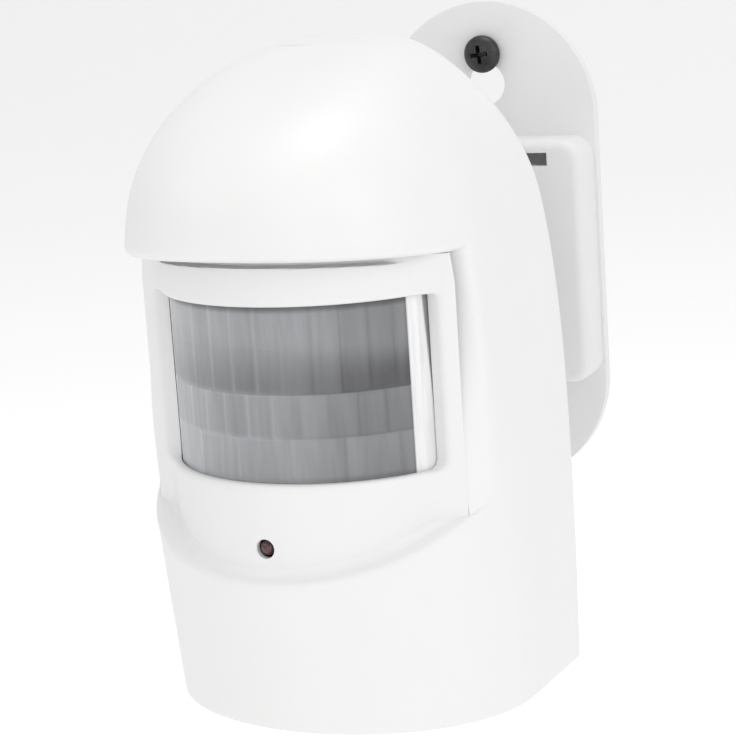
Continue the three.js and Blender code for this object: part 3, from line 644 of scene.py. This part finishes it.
        # at its ends the underside of the rim runs up into the sunk corner of the ledge
        i = min(k - kR, kL - k)
        corner = np.array([side[k] * 26.7, -19.4, rim_plane(-19.4)])
        share = sstep(0, 4, i)
        Q.append(corner * (1 - share) + pocket_point(e, rim_plane, 0.2 + 1.3 * sstep(0, 6, i)) * share)
        B.append(np.array([0, 0, 3.0]))
    side_run(kR, range(nM - 2, -1, -1), 1)
    n = len(loop)
    prev = loop
    for u in (0.2, 0.4, 0.6, 0.8, 1.0):
        ring = []
        for i in range(n):
            a, e, q = np.array(V[loop[i]]), E[i], Q[i]
            r = min(np.linalg.norm(a - e), 0.75 * np.linalg.norm(q - e))
            c = e + (q - e) / np.linalg.norm(q - e) * r
            ring.append(put((1 - u) ** 2 * a + 2 * u * (1 - u) * e + u * u * c))
        for i in range(n):
            j = (i + 1) % n
            F.append([prev[i], prev[j], ring[j], ring[i]])
        prev = ring
    nlip = kL - kR + 1
    start = [np.array(V[p]) for p in prev]
    fil = []
    for i in range(n):
        size = 0.0
        if i < nlip:
            size = 1.1 * sstep(0, 7, min(i, nlip - 1 - i)) + 0.25
        reach = min(size, 0.8 * np.linalg.norm(Q[i] - start[i]))
        d = (Q[i] - start[i]) / max(1e-6, np.linalg.norm(Q[i] - start[i]))
        fil.append((Q[i] - d * reach, Q[i], Q[i] + np.array([0, 0, reach])))
    runs = [[s0 * 0.5 + f[0] * 0.5 for s0, f in zip(start, fil)]]
    for u in (0.0, 0.2, 0.4, 0.6, 0.8, 1.0):
        runs.append([(1 - u) ** 2 * f[0] + 2 * u * (1 - u) * f[1] + u * u * f[2] for f in fil])
    for pts in runs:
        ring = [put(q) for q in pts]
        for i in range(n):
            j = (i + 1) % n
            F.append([prev[i], prev[j], ring[j], ring[i]])
        prev = ring
    ends = []
    for i in range(n):
        q = fil[i][2]
        o = np.array([q[0], q[1] - PANEL_CY, 0.0])
        ends.append(q - o / np.linalg.norm(o) * 0.5)
    ring = [put(q) for q in ends]
    for i in range(n):
        j = (i + 1) % n
        F.append([prev[i], prev[j], ring[j], ring[i]])
    ob = mesh("front_housing_shell", V, F, "casing")
    return ob


def half_rear(z, inset=0.0, seam=SEAM_Y):
    """The right half of a section behind the seam, in three runs: side, corner, back."""
    w, p, yf, yc, yb, rx, ry = form(z)
    w, yb = max(w - inset, 1e-3), yb - inset
    rx, ry = min(rx, w * 0.9995), min(ry, max(0.01, (yb - yc)) * 0.999)
    if yc > seam:
        sm = min(1.0, ((yc - seam) / max(1e-6, yc - yf)) ** (p / 2)) if yf < seam else 1.0
        t = np.linspace(math.asin(sm), 0, 60)
        front = np.stack([w * np.cos(t) ** (2 / p), yc - (yc - yf) * np.sin(t) ** (2 / p)], 1)
        side = np.vstack([front, [[w, yb - ry]]])
    else:
        side = np.array([[w, seam], [w, yb - ry]])
    t = np.linspace(0, math.pi / 2, 60)
    corner = np.stack([w - rx + rx * np.cos(t), yb - ry + ry * np.sin(t)], 1)
    back = np.array([[w - rx, yb], [0, yb]])
    return side, corner, back


def back_housing():
    nS, nK, nBk = 16, 12, 26
    rb = 0.6
    base = [(rb - rb * math.sin(t), rb - rb * math.cos(t)) for t in np.linspace(0, math.pi / 2, 5)]
    zs = [(z, ins) for ins, z in base]
    zs += [(z, 0) for z in np.linspace(rb, SEAM_ROWS[0], 40)[1:-1]]
    zs += [(z, 0) for z in SEAM_ROWS]
    lo, hi = SEAM_ROWS[-1], APEX_Z
    for _ in range(50):                     # where the seam leaves the dome
        m = (lo + hi) / 2
        lo, hi = (m, hi) if form(m)[2] < SEAM_Y else (lo, m)
    zs.append((hi + 1e-6, 0))
    seam_rows = len(zs)
    t_top = math.asin((hi - REAR_Z) / (APEX_Z - REAR_Z))
    zs += [(REAR_Z + (APEX_Z - 0.004 - REAR_Z) * math.sin(t), 0) for t in np.linspace(t_top, math.pi / 2, 14)[1:]]
    V, F = [], []
    K = None
    for z, ins in zs:
        runs = half_rear(z, ins)
        right = []
        for pts, n in zip(runs, (nS, nK, nBk)):
            d = along(pts)
            s = np.linspace(0, d[-1], n + 1)
            q = at(pts, d, s)
            right += list(q[:-1] if n != nBk else q)
        right = np.array(right)
        left = right[::-1][1:] * [-1, 1]
        ring = np.vstack([right, left])
        K = len(ring)
        V += [(x, y, z) for x, y in ring]
    R = len(zs)
    for r in range(R - 1):
        for k in range(K - 1):
            F.append([r * K + k, r * K + k + 1, (r + 1) * K + k + 1, (r + 1) * K + k])
    # bottom, seam face and top: the shell is closed along the seam here and hollowed below
    F.append([k for k in range(K)])
    left_col = [r * K + K - 1 for r in range(seam_rows)]
    right_col = [r * K for r in range(seam_rows)]
    F.append([(R - 1) * K + k for k in range(K)])
    F.append(right_col + left_col[::-1])
    ob = mesh("back_housing_shell", V, F, "casing")
    # hollow
    inner_z = np.r_[2.2, np.linspace(12, REAR_Z, 10), REAR_Z + (APEX_Z - 2.4 - REAR_Z) * np.sin(np.linspace(0.1, math.pi / 2, 14))]
    V2, F2 = [], []
    for z in inner_z:
        w, p, yf, yc, yb, rx, ry = form(z, 2.2)
        w, yb = max(0.5, w), max(yb, -4.0)
        rx, ry = min(rx + 0.4, w * 0.99), min(ry + 0.4, yb + 9.0)
        t = np.linspace(0, math.pi / 2, 9)
        q = [(w, -9.0)] + [(w - rx + rx * math.cos(a), yb - ry + ry * math.sin(a)) for a in t]
        q = q + [(-x, y) for x, y in q[::-1]]
        V2 += [(x, y, z) for x, y in q]
    K2 = len(V2) // len(inner_z)
    for r in range(len(inner_z) - 1):
        for k in range(K2):
            F2.append([r * K2 + k, r * K2 + (k + 1) % K2, (r + 1) * K2 + (k + 1) % K2, (r + 1) * K2 + k])
    F2 += [list(range(K2)), list(range((len(inner_z) - 1) * K2, len(inner_z) * K2))]
    hollow = mesh("hollow", V2, F2, "casing")
    tools = [hollow, block("t1", -25.5, 25.5, 8, 20, 4.2, 22.6), block("t2", -40, -27, -1.1, 1.7, 57.2, 63.8)]
    for x, z in SCREWS:
        tools.append(rod("t", "y", 3.2, 11.6, 20, x, z))
    boolean(ob, tools)
    # the bosses that the screw heads sit in, the shelf above the battery
    adds = []
    for i, (x, z) in enumerate(SCREWS):
        b = rod("boss_%d" % (i + 1), "y", 4.4, 9.6, 13.4, x, z)
        boolean(b, [rod("t", "y", 3.2, 11.6, 20, x, z), rod("t", "y", 1.7, 0, 20, x, z)])
        adds.append(b)
    adds.append(block("shelf", -29.8, 29.8, SEAM_Y + 0.2, 13.2, 23.0, 24.4))
    tidy(ob)
    return join(ob, adds)


def join(ob, others):
    """Puts further closed bodies into one piece."""
    bm = bmesh.new()
    bm.from_mesh(ob.data)
    for o in others:
        me = o.data
        bm.from_mesh(me)
        bpy.data.objects.remove(o)
        bpy.data.meshes.remove(me)
    bm.to_mesh(ob.data)
    bm.free()
    return ob


SCREWS = [(-25.4, 38), (25.4, 38), (-20.5, 86), (20.5, 86)]

fh = front_housing()
sol = fh.modifiers.new("wall", "SOLIDIFY")
sol.thickness = 0.0015
sol.offset = -1.0
sol.use_even_offset = False
sol.use_quality_normals = True
sol.thickness_clamp = 1.0
apply(fh)
tidy(fh)
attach(fh, "sensor")
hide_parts("front_housing")

bh = back_housing()
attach(bh, "sensor")
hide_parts("back_housing")


# ears of the tilt joint
def lug_outline(y0, half, cy, cz, r, n=40, reach=1):
    """Outline in Y-Z: a web that runs from y0 to a round eye."""
    d = math.hypot(cy - y0, 0)
    pts = [(y0, cz - half)]
    # tangent from the web's corner to the eye
    dy, dz = cy - y0, half
    dist = math.hypot(dy, dz)
    base = math.atan2(dz, dy * reach)
    ang = math.acos(min(1, r / dist))
    t0 = math.pi - 0
    a0 = math.atan2(-(half), (y0 - cy) * reach) if False else None
    # angle of the tangent point, seen from the eye's centre
    to_corner = math.atan2(-half, y0 - cy)
    s = to_corner + ang * (1 if reach > 0 else -1)
    e = -s
    if reach > 0:
        a = np.linspace(s, e, n)
    else:
        a = np.linspace(s, -2 * math.pi - s, n) if s < -math.pi / 2 else np.linspace(s, e, n)
    pts += [(cy + r * math.cos(t), cz + r * math.sin(t)) for t in a]
    pts.append((y0, cz + half))
    return pts


TILT_Y, TILT_Z, PAN_Y = 30.0, 62.0, 59.0
ears = []
for i, (a, b) in enumerate(((4.3, 8.3), (-8.3, -4.3))):
    e = prism("ear_%d" % (i + 1), lug_outline(14.2, 11, TILT_Y, TILT_Z, 7.0), "x", a, b)
    boolean(e, [rod("t", "x", 2.3, -12, 12, TILT_Y, TILT_Z)])
    bevel(e, 0.5, 3)
    ears.append(e)
ear = ears[0]
join(ear, ears[1:])
ear.name = "tilt_ears"
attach(ear, "sensor")


# ------------------------------------------------------------------ front panel with its window
WIN_A, WIN_Z0, WIN_Z1 = 63.5, 43.4, 72.2


def cyl(phi, z, r):
    p = math.radians(phi)
    return (r * math.sin(p), PANEL_CY - r * math.cos(p), z)


def rounded_loop(x0, x1, z0, z1, r_low, r_top, nx=60, nz=26, nr=10):
    """Closed run of points round a rounded rectangle, counter-clockwise from the middle of the bottom."""
    pts = []

    def arc(cx, cz, r, a0, a1):
        for t in np.linspace(a0, a1, nr + 1):
            pts.append((cx + r * math.cos(t), cz + r * math.sin(t)))

    for x in np.linspace((x0 + x1) / 2, x1 - r_low, nx // 2)[:-1]:
        pts.append((x, z0))
    arc(x1 - r_low, z0 + r_low, r_low, -math.pi / 2, 0)
    for z in np.linspace(z0 + r_low, z1 - r_top, nz)[1:-1]:
        pts.append((x1, z))
    arc(x1 - r_top, z1 - r_top, r_top, 0, math.pi / 2)
    for x in np.linspace(x1 - r_top, x0 + r_top, nx)[1:-1]:
        pts.append((x, z1))
    arc(x0 + r_top, z1 - r_top, r_top, math.pi / 2, math.pi)
    for z in np.linspace(z1 - r_top, z0 + r_low, nz)[1:-1]:
        pts.append((x0, z))
    arc(x0 + r_low, z0 + r_low, r_low, math.pi, 1.5 * math.pi)
    for x in np.linspace(x0 + r_low, (x0 + x1) / 2, nx // 2)[1:-1]:
        pts.append((x, z0))
    return pts


def front_panel():
    """Curved panel: a grid on the outside of a cylinder round a window with rounded corners and a rolled edge."""
    R = PANEL_R
    k = R * math.pi / 180                       # millimetres per degree of arc
    W0, Z0, Z1, A = 1.15, 31.5, 84.0, PANEL_A
    edge = rounded_loop(-WIN_A * k, WIN_A * k, WIN_Z0, WIN_Z1, 1.8, 0.6)
    lip = rounded_loop(-WIN_A * k - W0 * 0.8, WIN_A * k + W0 * 0.8, WIN_Z0 - W0, WIN_Z1 + W0 * 0.55, 2.8, 1.1)
    outer = []
    xm, zc = A * k, (Z0 + Z1) / 2
    for (x, z) in lip:
        # the same run of points on the panel's own outline
        outer.append((x, z))
    x1 = max(p[0] for p in lip)
    z0, z1 = min(p[1] for p in lip), max(p[1] for p in lip)
    n = len(lip)
    out = []
    for (x, z) in lip:
        fx, fz = x / x1, (z - (z0 + z1) / 2) / ((z1 - z0) / 2)
        m = max(abs(fx), abs(fz))
        px = fx / m * xm
        zb = lip_plane(cyl(px / k, 0, panel_radius(px / k))[1]) - 2.2
        zt = Z1 - 5.4 * sstep(55, 62, abs(px / k))
        pz = zb + (fz / m + 1) / 2 * (zt - zb)
        out.append((px, pz))
    V, F = [], []
    rings = []

    def ring(pts):
        ids = []
        for x, z, r in pts:
            q = cyl(x / k, z, r + panel_radius(x / k) - PANEL_R)
            under = rim_plane(q[1]) - z         # a shallow rebate runs under the rim of the hood
            q = cyl(x / k, z, r + panel_radius(x / k) - PANEL_R - 1.2 * (1 - sstep(1.0, 1.4, under)) * (1 - sstep(45, 53, abs(x / k))))
            w, p, yf, yc = form(z)[:4]          # the margins stay inside the casing
            lim = w * (1 - min(1.0, max(0.0, (yc - q[1]) / (yc - yf))) ** p) ** (1 / p) - 1.0
            V.append((math.copysign(min(abs(q[0]), lim), q[0]), q[1], q[2]))
            ids.append(len(V) - 1)
        rings.append(ids)

    for u in np.linspace(0, 1, 64):
        v = u ** 0.9
        ring([(o[0] + (a[0] - o[0]) * v, o[1] + (a[1] - o[1]) * v, R) for o, a in zip(out, lip)])
    for u in (0.2, 0.4, 0.6, 0.8, 1.0):
        pts = []
        for a, e in zip(lip, edge):
            x = (1 - u) ** 2 * a[0] + 2 * u * (1 - u) * e[0] + u * u * e[0]
            z = (1 - u) ** 2 * a[1] + 2 * u * (1 - u) * e[1] + u * u * e[1]
            r = (1 - u) ** 2 * R + 2 * u * (1 - u) * R + u * u * (R - 0.8)
            pts.append((x, z, r))
        ring(pts)
    for u in (0.5, 1.0):
        ring([(e[0], e[1], (R - 0.8) * (1 - u) + u * (26.75 + R - panel_radius(e[0] / k))) for e in edge])
    for a, b in zip(rings, rings[1:]):
        for i in range(n):
            j = (i + 1) % n
            F.append([a[i], a[j], b[j], b[i]])
    ob = mesh("front_panel_shell", V, F, "panel", 50)
    s = ob.modifiers.new("wall", "SOLIDIFY")
    s.thickness = 0.0011
    s.offset = -1.0
    apply(ob)
    hole = rod("t", "y", 1.62, -60, -20, 0, 32.8, 40)
    boolean(ob, [hole])
    tidy(ob, 40)
    return ob


fp = front_panel()
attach(fp, "sensor")
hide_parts("front_panel")


# ------------------------------------------------------------------ lens
def lens():
    """Curved lens sheet: three rows of lens fields with grooves between them, each field gently domed, plain margins.
    """
    R0, T0 = 26.5, 0.6
    A_SHEET, A_ACT = 66.5, 54.8
    rows = [(57.9, 72.5, [-50, -40, -30, -20, -10, 0, 10, 20, 30, 40, 50]),
            (50.7, 57.9, [-45, -35, -25, -15, -5, 5, 15, 25, 35, 45]),
            (43.7, 50.7, [-50, -30, -10, 10, 30, 50])]
    phis = np.unique(np.round(np.r_[np.arange(-A_SHEET, A_SHEET + 0.01, 0.45), A_SHEET, -A_ACT, A_ACT], 3))
    zs = np.unique(np.round(np.r_[np.arange(41.6, 74.6, 0.24), 74.6, 57.9, 50.7], 3))
    rng = np.random.default_rng(7)
    tone = {}
    V, C = [], []
    k = math.pi / 180 * R0
    bounds = [(-A_ACT, A_ACT)]
    cell_tone = []
    for ri, (z0, z1, bs) in enumerate(rows):
        edges = [-A_ACT] + list(bs) + [A_ACT]
        cell_tone.append([(edges[i], edges[i + 1], rng.uniform(-1, 1), rng.uniform(-1, 1)) for i in range(len(edges) - 1)])
    for z in zs:
        ri = 0 if z >= 57.9 else 1 if z >= 50.7 else 2
        z0, z1, bs = rows[ri]
        for ph in phis:
            if abs(ph) > A_ACT:
                d = (abs(ph) - A_ACT) * k
                r = R0 + 0.02 - 0.12 * math.exp(-(d / 0.25) ** 2)
                V.append(cyl(ph, z, r))
                end = 61.3 + (72 - z) * 0.135           # the plain margin is wider at its foot
                w = 0.80 if d > 0.15 else 0.5
                # painted shadow: past end the plain margin is coloured dark, standing in for the shade in the gap along
                # the window's side edge, wide at the top and thin at the foot
                w = w + (0.24 - w) * sstep(end - 0.2, end + 0.4, abs(ph))
                r -= 0.5 * sstep(end - 0.2, end + 0.8, abs(ph))
                C.append((w, w, w, 1))
                continue
            for a, b, t1, t2 in cell_tone[ri]:
                if a <= ph <= b:
                    break
            d = min(abs(ph - a), abs(b - ph)) * k
            dz = min(abs(z - z0), abs(z1 - z))
            g = math.exp(-(d / 0.22) ** 2) + math.exp(-(dz / 0.28) ** 2)
            u = (ph - (a + b) / 2) / max(4.0, (b - a) / 2)
            v = (z - (z0 + z1) / 2) / (z1 - z0) * 2
            r = R0 - 0.10 * min(1.0, g) + 0.05 * (1 - u * u) + 0.035 * t1 * u - 0.03 * v
            if ri == 0:
                # the tall upper fields are split in two faint halves
                gz = math.exp(-((z - 65.2) / 0.4) ** 2)
                r -= 0.03 * gz
            V.append(cyl(ph, z, r))
            # darker inside each field, lighter along its edges, lighter at the left and along the top
            base = 0.268 + 0.012 * t1
            base += 0.040 * sstep(63.5, 67.5, z + 0.04 * ph)
            base -= 0.085 * (1 - sstep(59, 66, z)) * (1 if ri == 0 else 0)
            base += 0.030 * (1 if ri == 2 else 0) + 0.010 * (1 if ri == 1 else 0)
            base -= 0.10 * sstep(5, 45, ph) - 0.12 * (1 - sstep(-50, 0, ph))
            edge_tone = 0.065 * (1 - 1.4 * sstep(-8, 28, ph))
            base += edge_tone * min(1.0, math.exp(-(d / 0.35) ** 2) + 0.7 * math.exp(-(dz / 0.35) ** 2))
            # painted shadow: the fields are darkened towards the window's top edge, standing in for the shade under
            # that edge
            base *= 1 - 0.55 * sstep(70.8, 71.8, z)
            base += 0.018 * v * (1 if ri else 0) + 0.02 * t2 * u
            base = max(0.08, base)
            C.append((base * 0.975, base * 0.99, base * 1.03, 1))
    ny, nx = len(zs), len(phis)
    F = [[j * nx + i, j * nx + i + 1, (j + 1) * nx + i + 1, (j + 1) * nx + i] for j in range(ny - 1) for i in range(nx - 1)]
    me = bpy.data.meshes.new("lens_sheet")
    me.from_pydata([tuple(p) for p in row(V)], [], F)
    me.materials.append(MAT["lens"])
    ca = me.color_attributes.new("tone", "FLOAT_COLOR", "POINT")
    ca.data.foreach_set("color", np.array(C, np.float32).ravel())
    ob = link(bpy.data.objects.new("lens_sheet", me))
    for p in me.polygons:
        p.use_smooth = True
    s = ob.modifiers.new("wall", "SOLIDIFY")
    s.thickness = T0 / 1000
    s.offset = -1.0
    apply(ob)
    bm = bmesh.new()
    bm.from_mesh(ob.data)
    bmesh.ops.recalc_face_normals(bm, faces=bm.faces)
    for e in bm.edges:
        e.smooth = e.is_manifold and e.calc_face_angle(0) < math.radians(50)
    bm.to_mesh(ob.data)
    bm.free()
    return ob


ln = lens()
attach(ln, "sensor")
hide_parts("fresnel_lens")

# indicator light
led = spin("indicator_light", [(0, 5.4), (0.35, 5.36), (0.7, 5.22), (1.0, 4.96), (1.22, 4.62), (1.36, 4.2), (1.4, 3.8), (1.4, 1.0), (1.78, 1.0), (1.78, 0.0), (0, 0)],
           (0, -32.6, 32.8), (0, -1, 0), "led_red")
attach(led, "sensor")
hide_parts("indicator_led")


# ------------------------------------------------------------------ wall bracket
def outline_stadium(r, z0, z1, n=48):
    return ([(r * math.cos(t), z1 + r * math.sin(t)) for t in np.linspace(0, math.pi, n + 1)]
            + [(r * math.cos(t), z0 + r * math.sin(t)) for t in np.linspace(math.pi, 2 * math.pi, n + 1)])


def outline_rect(x0, x1, z0, z1, r, n=10):
    pts = []
    for cx, cz, a in ((x1 - r, z0 + r, -0.5), (x1 - r, z1 - r, 0), (x0 + r, z1 - r, 0.5), (x0 + r, z0 + r, 1.0)):
        pts += [(cx + r * math.cos(t), cz + r * math.sin(t)) for t in np.linspace(a * math.pi, (a + 0.5) * math.pi, n + 1)]
    return pts


def keyhole_outline(z, R, top, r, n=40):
    h = math.asin(r / R)
    a = np.linspace(math.pi / 2 + h, 2.5 * math.pi - h, n)
    big = [(R * math.cos(t), z + R * math.sin(t)) for t in a]
    small = [(r * math.cos(t), top + r * math.sin(t)) for t in np.linspace(0, math.pi, 20)]
    return big + small


def bracket():
    plate = prism("bracket_plate", outline_stadium(22.0, 40.82, 91.05), "y", 61.6, 63.6, "bracket")
    boolean(plate, [prism("t", keyhole_outline(97.3, 4.0, 103.1, 2.0), "y", 50, 70), rod("t", "y", 2.1, 50, 70, 0, 28.77, 40),
                    block("t", 4.2, 19, 50, 70, 51, 76.6), block("t", -19, -4.2, 50, 70, 51, 76.6)])
    bm = bmesh.new()
    bm.from_mesh(plate.data)
    # round the front rim and the keyhole's edge only
    lay = bm.edges.layers.float.get("bevel_weight_edge") or bm.edges.layers.float.new("bevel_weight_edge")
    yf = row((0, 61.6, 0))[1]
    yb = row((0, 63.6, 0))[1]
    for e in bm.edges:
        if len(e.link_faces) == 2 and e.calc_face_angle(0) > 0.9:
            on = all(abs(v.co.y - yf) < 1e-6 for v in e.verts)
            mid = (e.verts[0].co + e.verts[1].co) / 2
            z = mid.z * 1000 + 64
            x = mid.x * 1000
            inside = abs(x) < 19.5 and 42 < z < 85.5
            if on and not inside:
                e[lay] = 1.0 if math.hypot(x, z - 97.3) > 9 and z > 30 or abs(x) > 8 else 0.35
    bm.to_mesh(plate.data)
    bm.free()
    md = plate.modifiers.new("bevel", "BEVEL")
    md.width = 0.0009
    md.segments = 4
    md.limit_method = "WEIGHT"
    apply(plate)
    tidy(plate)
    blk = prism("bracket_block", outline_rect(-21.5, 21.5, 40.4, 87.2, 4.0), "y", 54.0, 62.0, "bracket")
    bm = bmesh.new()
    bm.from_mesh(blk.data)
    lay = bm.edges.layers.float.get("bevel_weight_edge") or bm.edges.layers.float.new("bevel_weight_edge")
    yf = row((0, 54.0, 0))[1]
    for e in bm.edges:
        if all(abs(v.co.y - yf) < 1e-6 for v in e.verts):
            e[lay] = 1.0
    bm.to_mesh(blk.data)
    bm.free()
    md = blk.modifiers.new("bevel", "BEVEL")
    md.width = 0.002
    md.segments = 6
    md.limit_method = "WEIGHT"
    apply(blk)
    boolean(blk, [block("t", -14.9, 14.9, 50, 57, 82.3, 84.8), block("t", -14.9, 14.9, 50, 57, 42.8, 45.3),
                  block("t", -19, 19, 56, 61.4, 42.8, 48.0), block("t", -19, 19, 56, 61.4, 79.6, 84.8),
                  block("t", 4.2, 19, 56, 70, 51, 76.6), block("t", -19, -4.2, 56, 70, 51, 76.6),
                  rod("t", "z", 1.8, 30, 86.5, 0, PAN_Y, 32)])
    tidy(blk)
    for o in (plate, blk):
        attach(o, "wall_side")
    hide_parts("wall_bracket")
    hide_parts("wall_bracket")


bracket()


# ------------------------------------------------------------------ yoke
def yoke():
    def tongue(z0, z1):
        pts = [(-4.2, 43.0), (4.2, 43.0)] + [(4.2 * math.cos(t), PAN_Y + 4.2 * math.sin(t)) for t in np.linspace(0, math.pi, 25)]
        return prism("t", pts, "z", z0, z1, "bracket")
    web = block("swivel_yoke_arm", -6, 6, 41.2, 44.5, 43.1, 84.5, "bracket")
    tips = [(42.5, TILT_Z - 12), (42.5, TILT_Z + 12)]
    # web to eye
    r, cy, cz = 6.5, TILT_Y, TILT_Z
    d = math.hypot(12.5, 12)
    a = math.atan2(12, 12.5) + math.acos(r / d)
    pts = [(42.5, TILT_Z - 12)] + [(42.5, TILT_Z + 12)] + [(cy + r * math.cos(t), cz + r * math.sin(t)) for t in np.linspace(a, 2 * math.pi - a, 40)]
    lug = prism("t", pts, "x", -4, 4, "bracket")
    boolean(web, [tongue(43.1, 45.0), tongue(82.6, 84.5), lug], "UNION")
    boolean(web, [rod("t", "x", 2.3, -12, 12, TILT_Y, TILT_Z), rod("t", "z", 1.8, 30, 100, 0, PAN_Y, 32)])
    bevel(web, 0.35, 2, 40)
    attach(web, "yoke")
    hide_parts("swivel_yoke")


yoke()


# ------------------------------------------------------------------ screws
def pan_screw(name, origin, direction, R, H, r, length, mat, node, body, tip=1.6, pitch=None, turn=0.0, cross=0.66):
    """Pan head with a tapering cross recess and a threaded shank. The head's underside is at origin, the head looks along direction."""
    prof = [(0, H)]
    for t in np.linspace(0.12, 1, 9):
        prof.append((R * math.sin(t * math.pi / 2) ** 0.9, H * (0.30 + 0.70 * math.cos(t * math.pi / 2))))
    prof += [(R, 0.22 * H), (R * 0.985, 0.06 * H), (R * 0.95, 0.0), (r * 1.0, 0.0)]
    if pitch:
        z = -1.0
        while z > -(length - tip - pitch):
            prof += [(r * 0.80, z), (r * 0.80, z - pitch * 0.35), (r, z - pitch * 0.6), (r * 0.80, z - pitch * 0.85)]
            z -= pitch
    prof += [(r * 0.85, -(length - tip)), (r * 0.2, -length), (0, -length)]
    ob = spin(name, prof, origin, direction, mat, 48)
    # recess: two crossed tapering blades
    d = Vector(direction).normalized()
    a = d.orthogonal().normalized()
    b = d.cross(a)
    ca, sa = math.cos(turn), math.sin(turn)
    a, b = a * ca + b * sa, b * ca - a * sa
    tools = []
    for u, w in ((a, b), (b, a)):
        c0, c1, t0, t1 = R * cross, R * cross * 0.35, R * 0.13, R * 0.09
        top, bot = H * 1.4, H * 0.25
        v = []
        for (c, t, h) in ((c0 * 1.05, t0, top), (c1, t1, bot)):
            for su, sw in ((-1, -1), (1, -1), (1, 1), (-1, 1)):
                v.append(tuple(Vector(origin) + u * (c * su) + w * (t * sw) + d * h))
        tools.append(mesh("t", v, [[0, 1, 2, 3], [7, 6, 5, 4], [0, 4, 5, 1], [1, 5, 6, 2], [2, 6, 7, 3], [3, 7, 4, 0]], mat))
    boolean(ob, tools)
    tidy(ob, 32)
    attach(ob, body)
    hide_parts(node)
    return ob


pan_screw("upper_screw", (0, 61.3, 103.1), (0, -1, 0), 3.6, 2.4, 1.6, 22, "dark_screw", "wall_screw_upper", "wall_side", pitch=1.25, turn=math.radians(52))
pan_screw("lower_screw", (0, 61.3, 28.77), (0, -1, 0), 3.6, 2.4, 1.6, 22, "dark_screw", "wall_screw_lower", "wall_side", pitch=1.25, turn=math.radians(12))
pan_screw("tilt_bolt", (8.6, TILT_Y, TILT_Z), (1, 0, 0), 3.5, 2.3, 1.9, 22, "steel", "tilt_screw", "sensor", tip=0.8, pitch=0.8, turn=0.3)
for i, (x, z) in enumerate(SCREWS):
    pan_screw("case_screw_fine_%d" % (i + 1), (x, 11.9, z), (0, 1, 0), 2.8, 1.85, 1.2, 24.2, "steel", "case_screw_%d" % (i + 1), "sensor", pitch=1.0, turn=0.4 + i)


def hexnut():
    pts = [(TILT_Y + 4.04 * math.cos(i * math.pi / 3), TILT_Z + 4.04 * math.sin(i * math.pi / 3)) for i in range(6)]
    n = prism("tilt_nut_fine", pts, "x", -11.8, -8.6, "steel")
    bevel(n, 0.3, 2)
    boolean(n, [rod("t", "x", 2.25, -14, -6, TILT_Y, TILT_Z, 40)])
    tidy(n)
    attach(n, "sensor")
    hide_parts("tilt_nut")


hexnut()


# ------------------------------------------------------------------ room
def room():
    me = bpy.data.meshes.new("floor")
    s = 6.0
    z = row((0, 0, -70))[2]
    # a pale floor that sweeps up behind
    V, F = [], []
    prof = [(-s, z)] + [(1.2 + 0.8 * math.sin(t), z + 0.8 - 0.8 * math.cos(t)) for t in np.linspace(0, math.pi / 2, 20)] + [(2.0, z + 6)]
    for y, zz in prof:
        V += [(-s, y, zz), (s, y, zz)]
    for i in range(len(prof) - 1):
        F.append([2 * i, 2 * i + 1, 2 * i + 3, 2 * i + 2])
    me.from_pydata(V, [], F)
    for p in me.polygons:
        p.use_smooth = True
    m = bpy.data.materials.new("floor")
    m.use_nodes = True
    bs = m.node_tree.nodes["Principled BSDF"]
    bs.inputs["Base Color"].default_value = (0.95, 0.95, 0.95, 1)
    bs.inputs["Emission Color"].default_value = (1, 1, 1, 1)
    bs.inputs["Emission Strength"].default_value = 0.12
    bs.inputs["Roughness"].default_value = 0.9
    bs.inputs["Specular IOR Level"].default_value = 0.0
    me.materials.append(m)
    ob = link(bpy.data.objects.new("floor", me))
    return ob


room()

world = bpy.data.worlds.new("world")
bpy.context.scene.world = world
world.use_nodes = True
bg = world.node_tree.nodes["Background"]
bg.inputs[0].default_value = (1, 1, 1, 1)
bg.inputs[1].default_value = 0.73


def area(name, pos, target, size, power, color=(1, 1, 1)):
    d = bpy.data.lights.new(name, "AREA")
    d.shape = "RECTANGLE"
    d.size, d.size_y = size
    d.energy = power
    d.color = color
    ob = link(bpy.data.objects.new(name, d))
    p, t = Vector(row(pos)), Vector(row(target))
    ob.matrix_world = Matrix.Translation(p) @ (t - p).to_track_quat("-Z", "Y").to_matrix().to_4x4()
    return ob


# soft boxes: one high on the left, one high on the right, a low fill in front
area("key_left", (-420, -520, 520), (0, -10, 60), (0.5, 0.5), 0.45)
area("key_right", (620, -320, 300), (0, 10, 60), (0.5, 0.5), 1.0)
area("front", (160, -900, 160), (0, -10, 50), (0.6, 0.6), 0.8)
area("top", (60, -60, 900), (0, -10, 60), (0.5, 0.5), 2.1)

bpy.context.scene.view_settings.view_transform = "Standard"
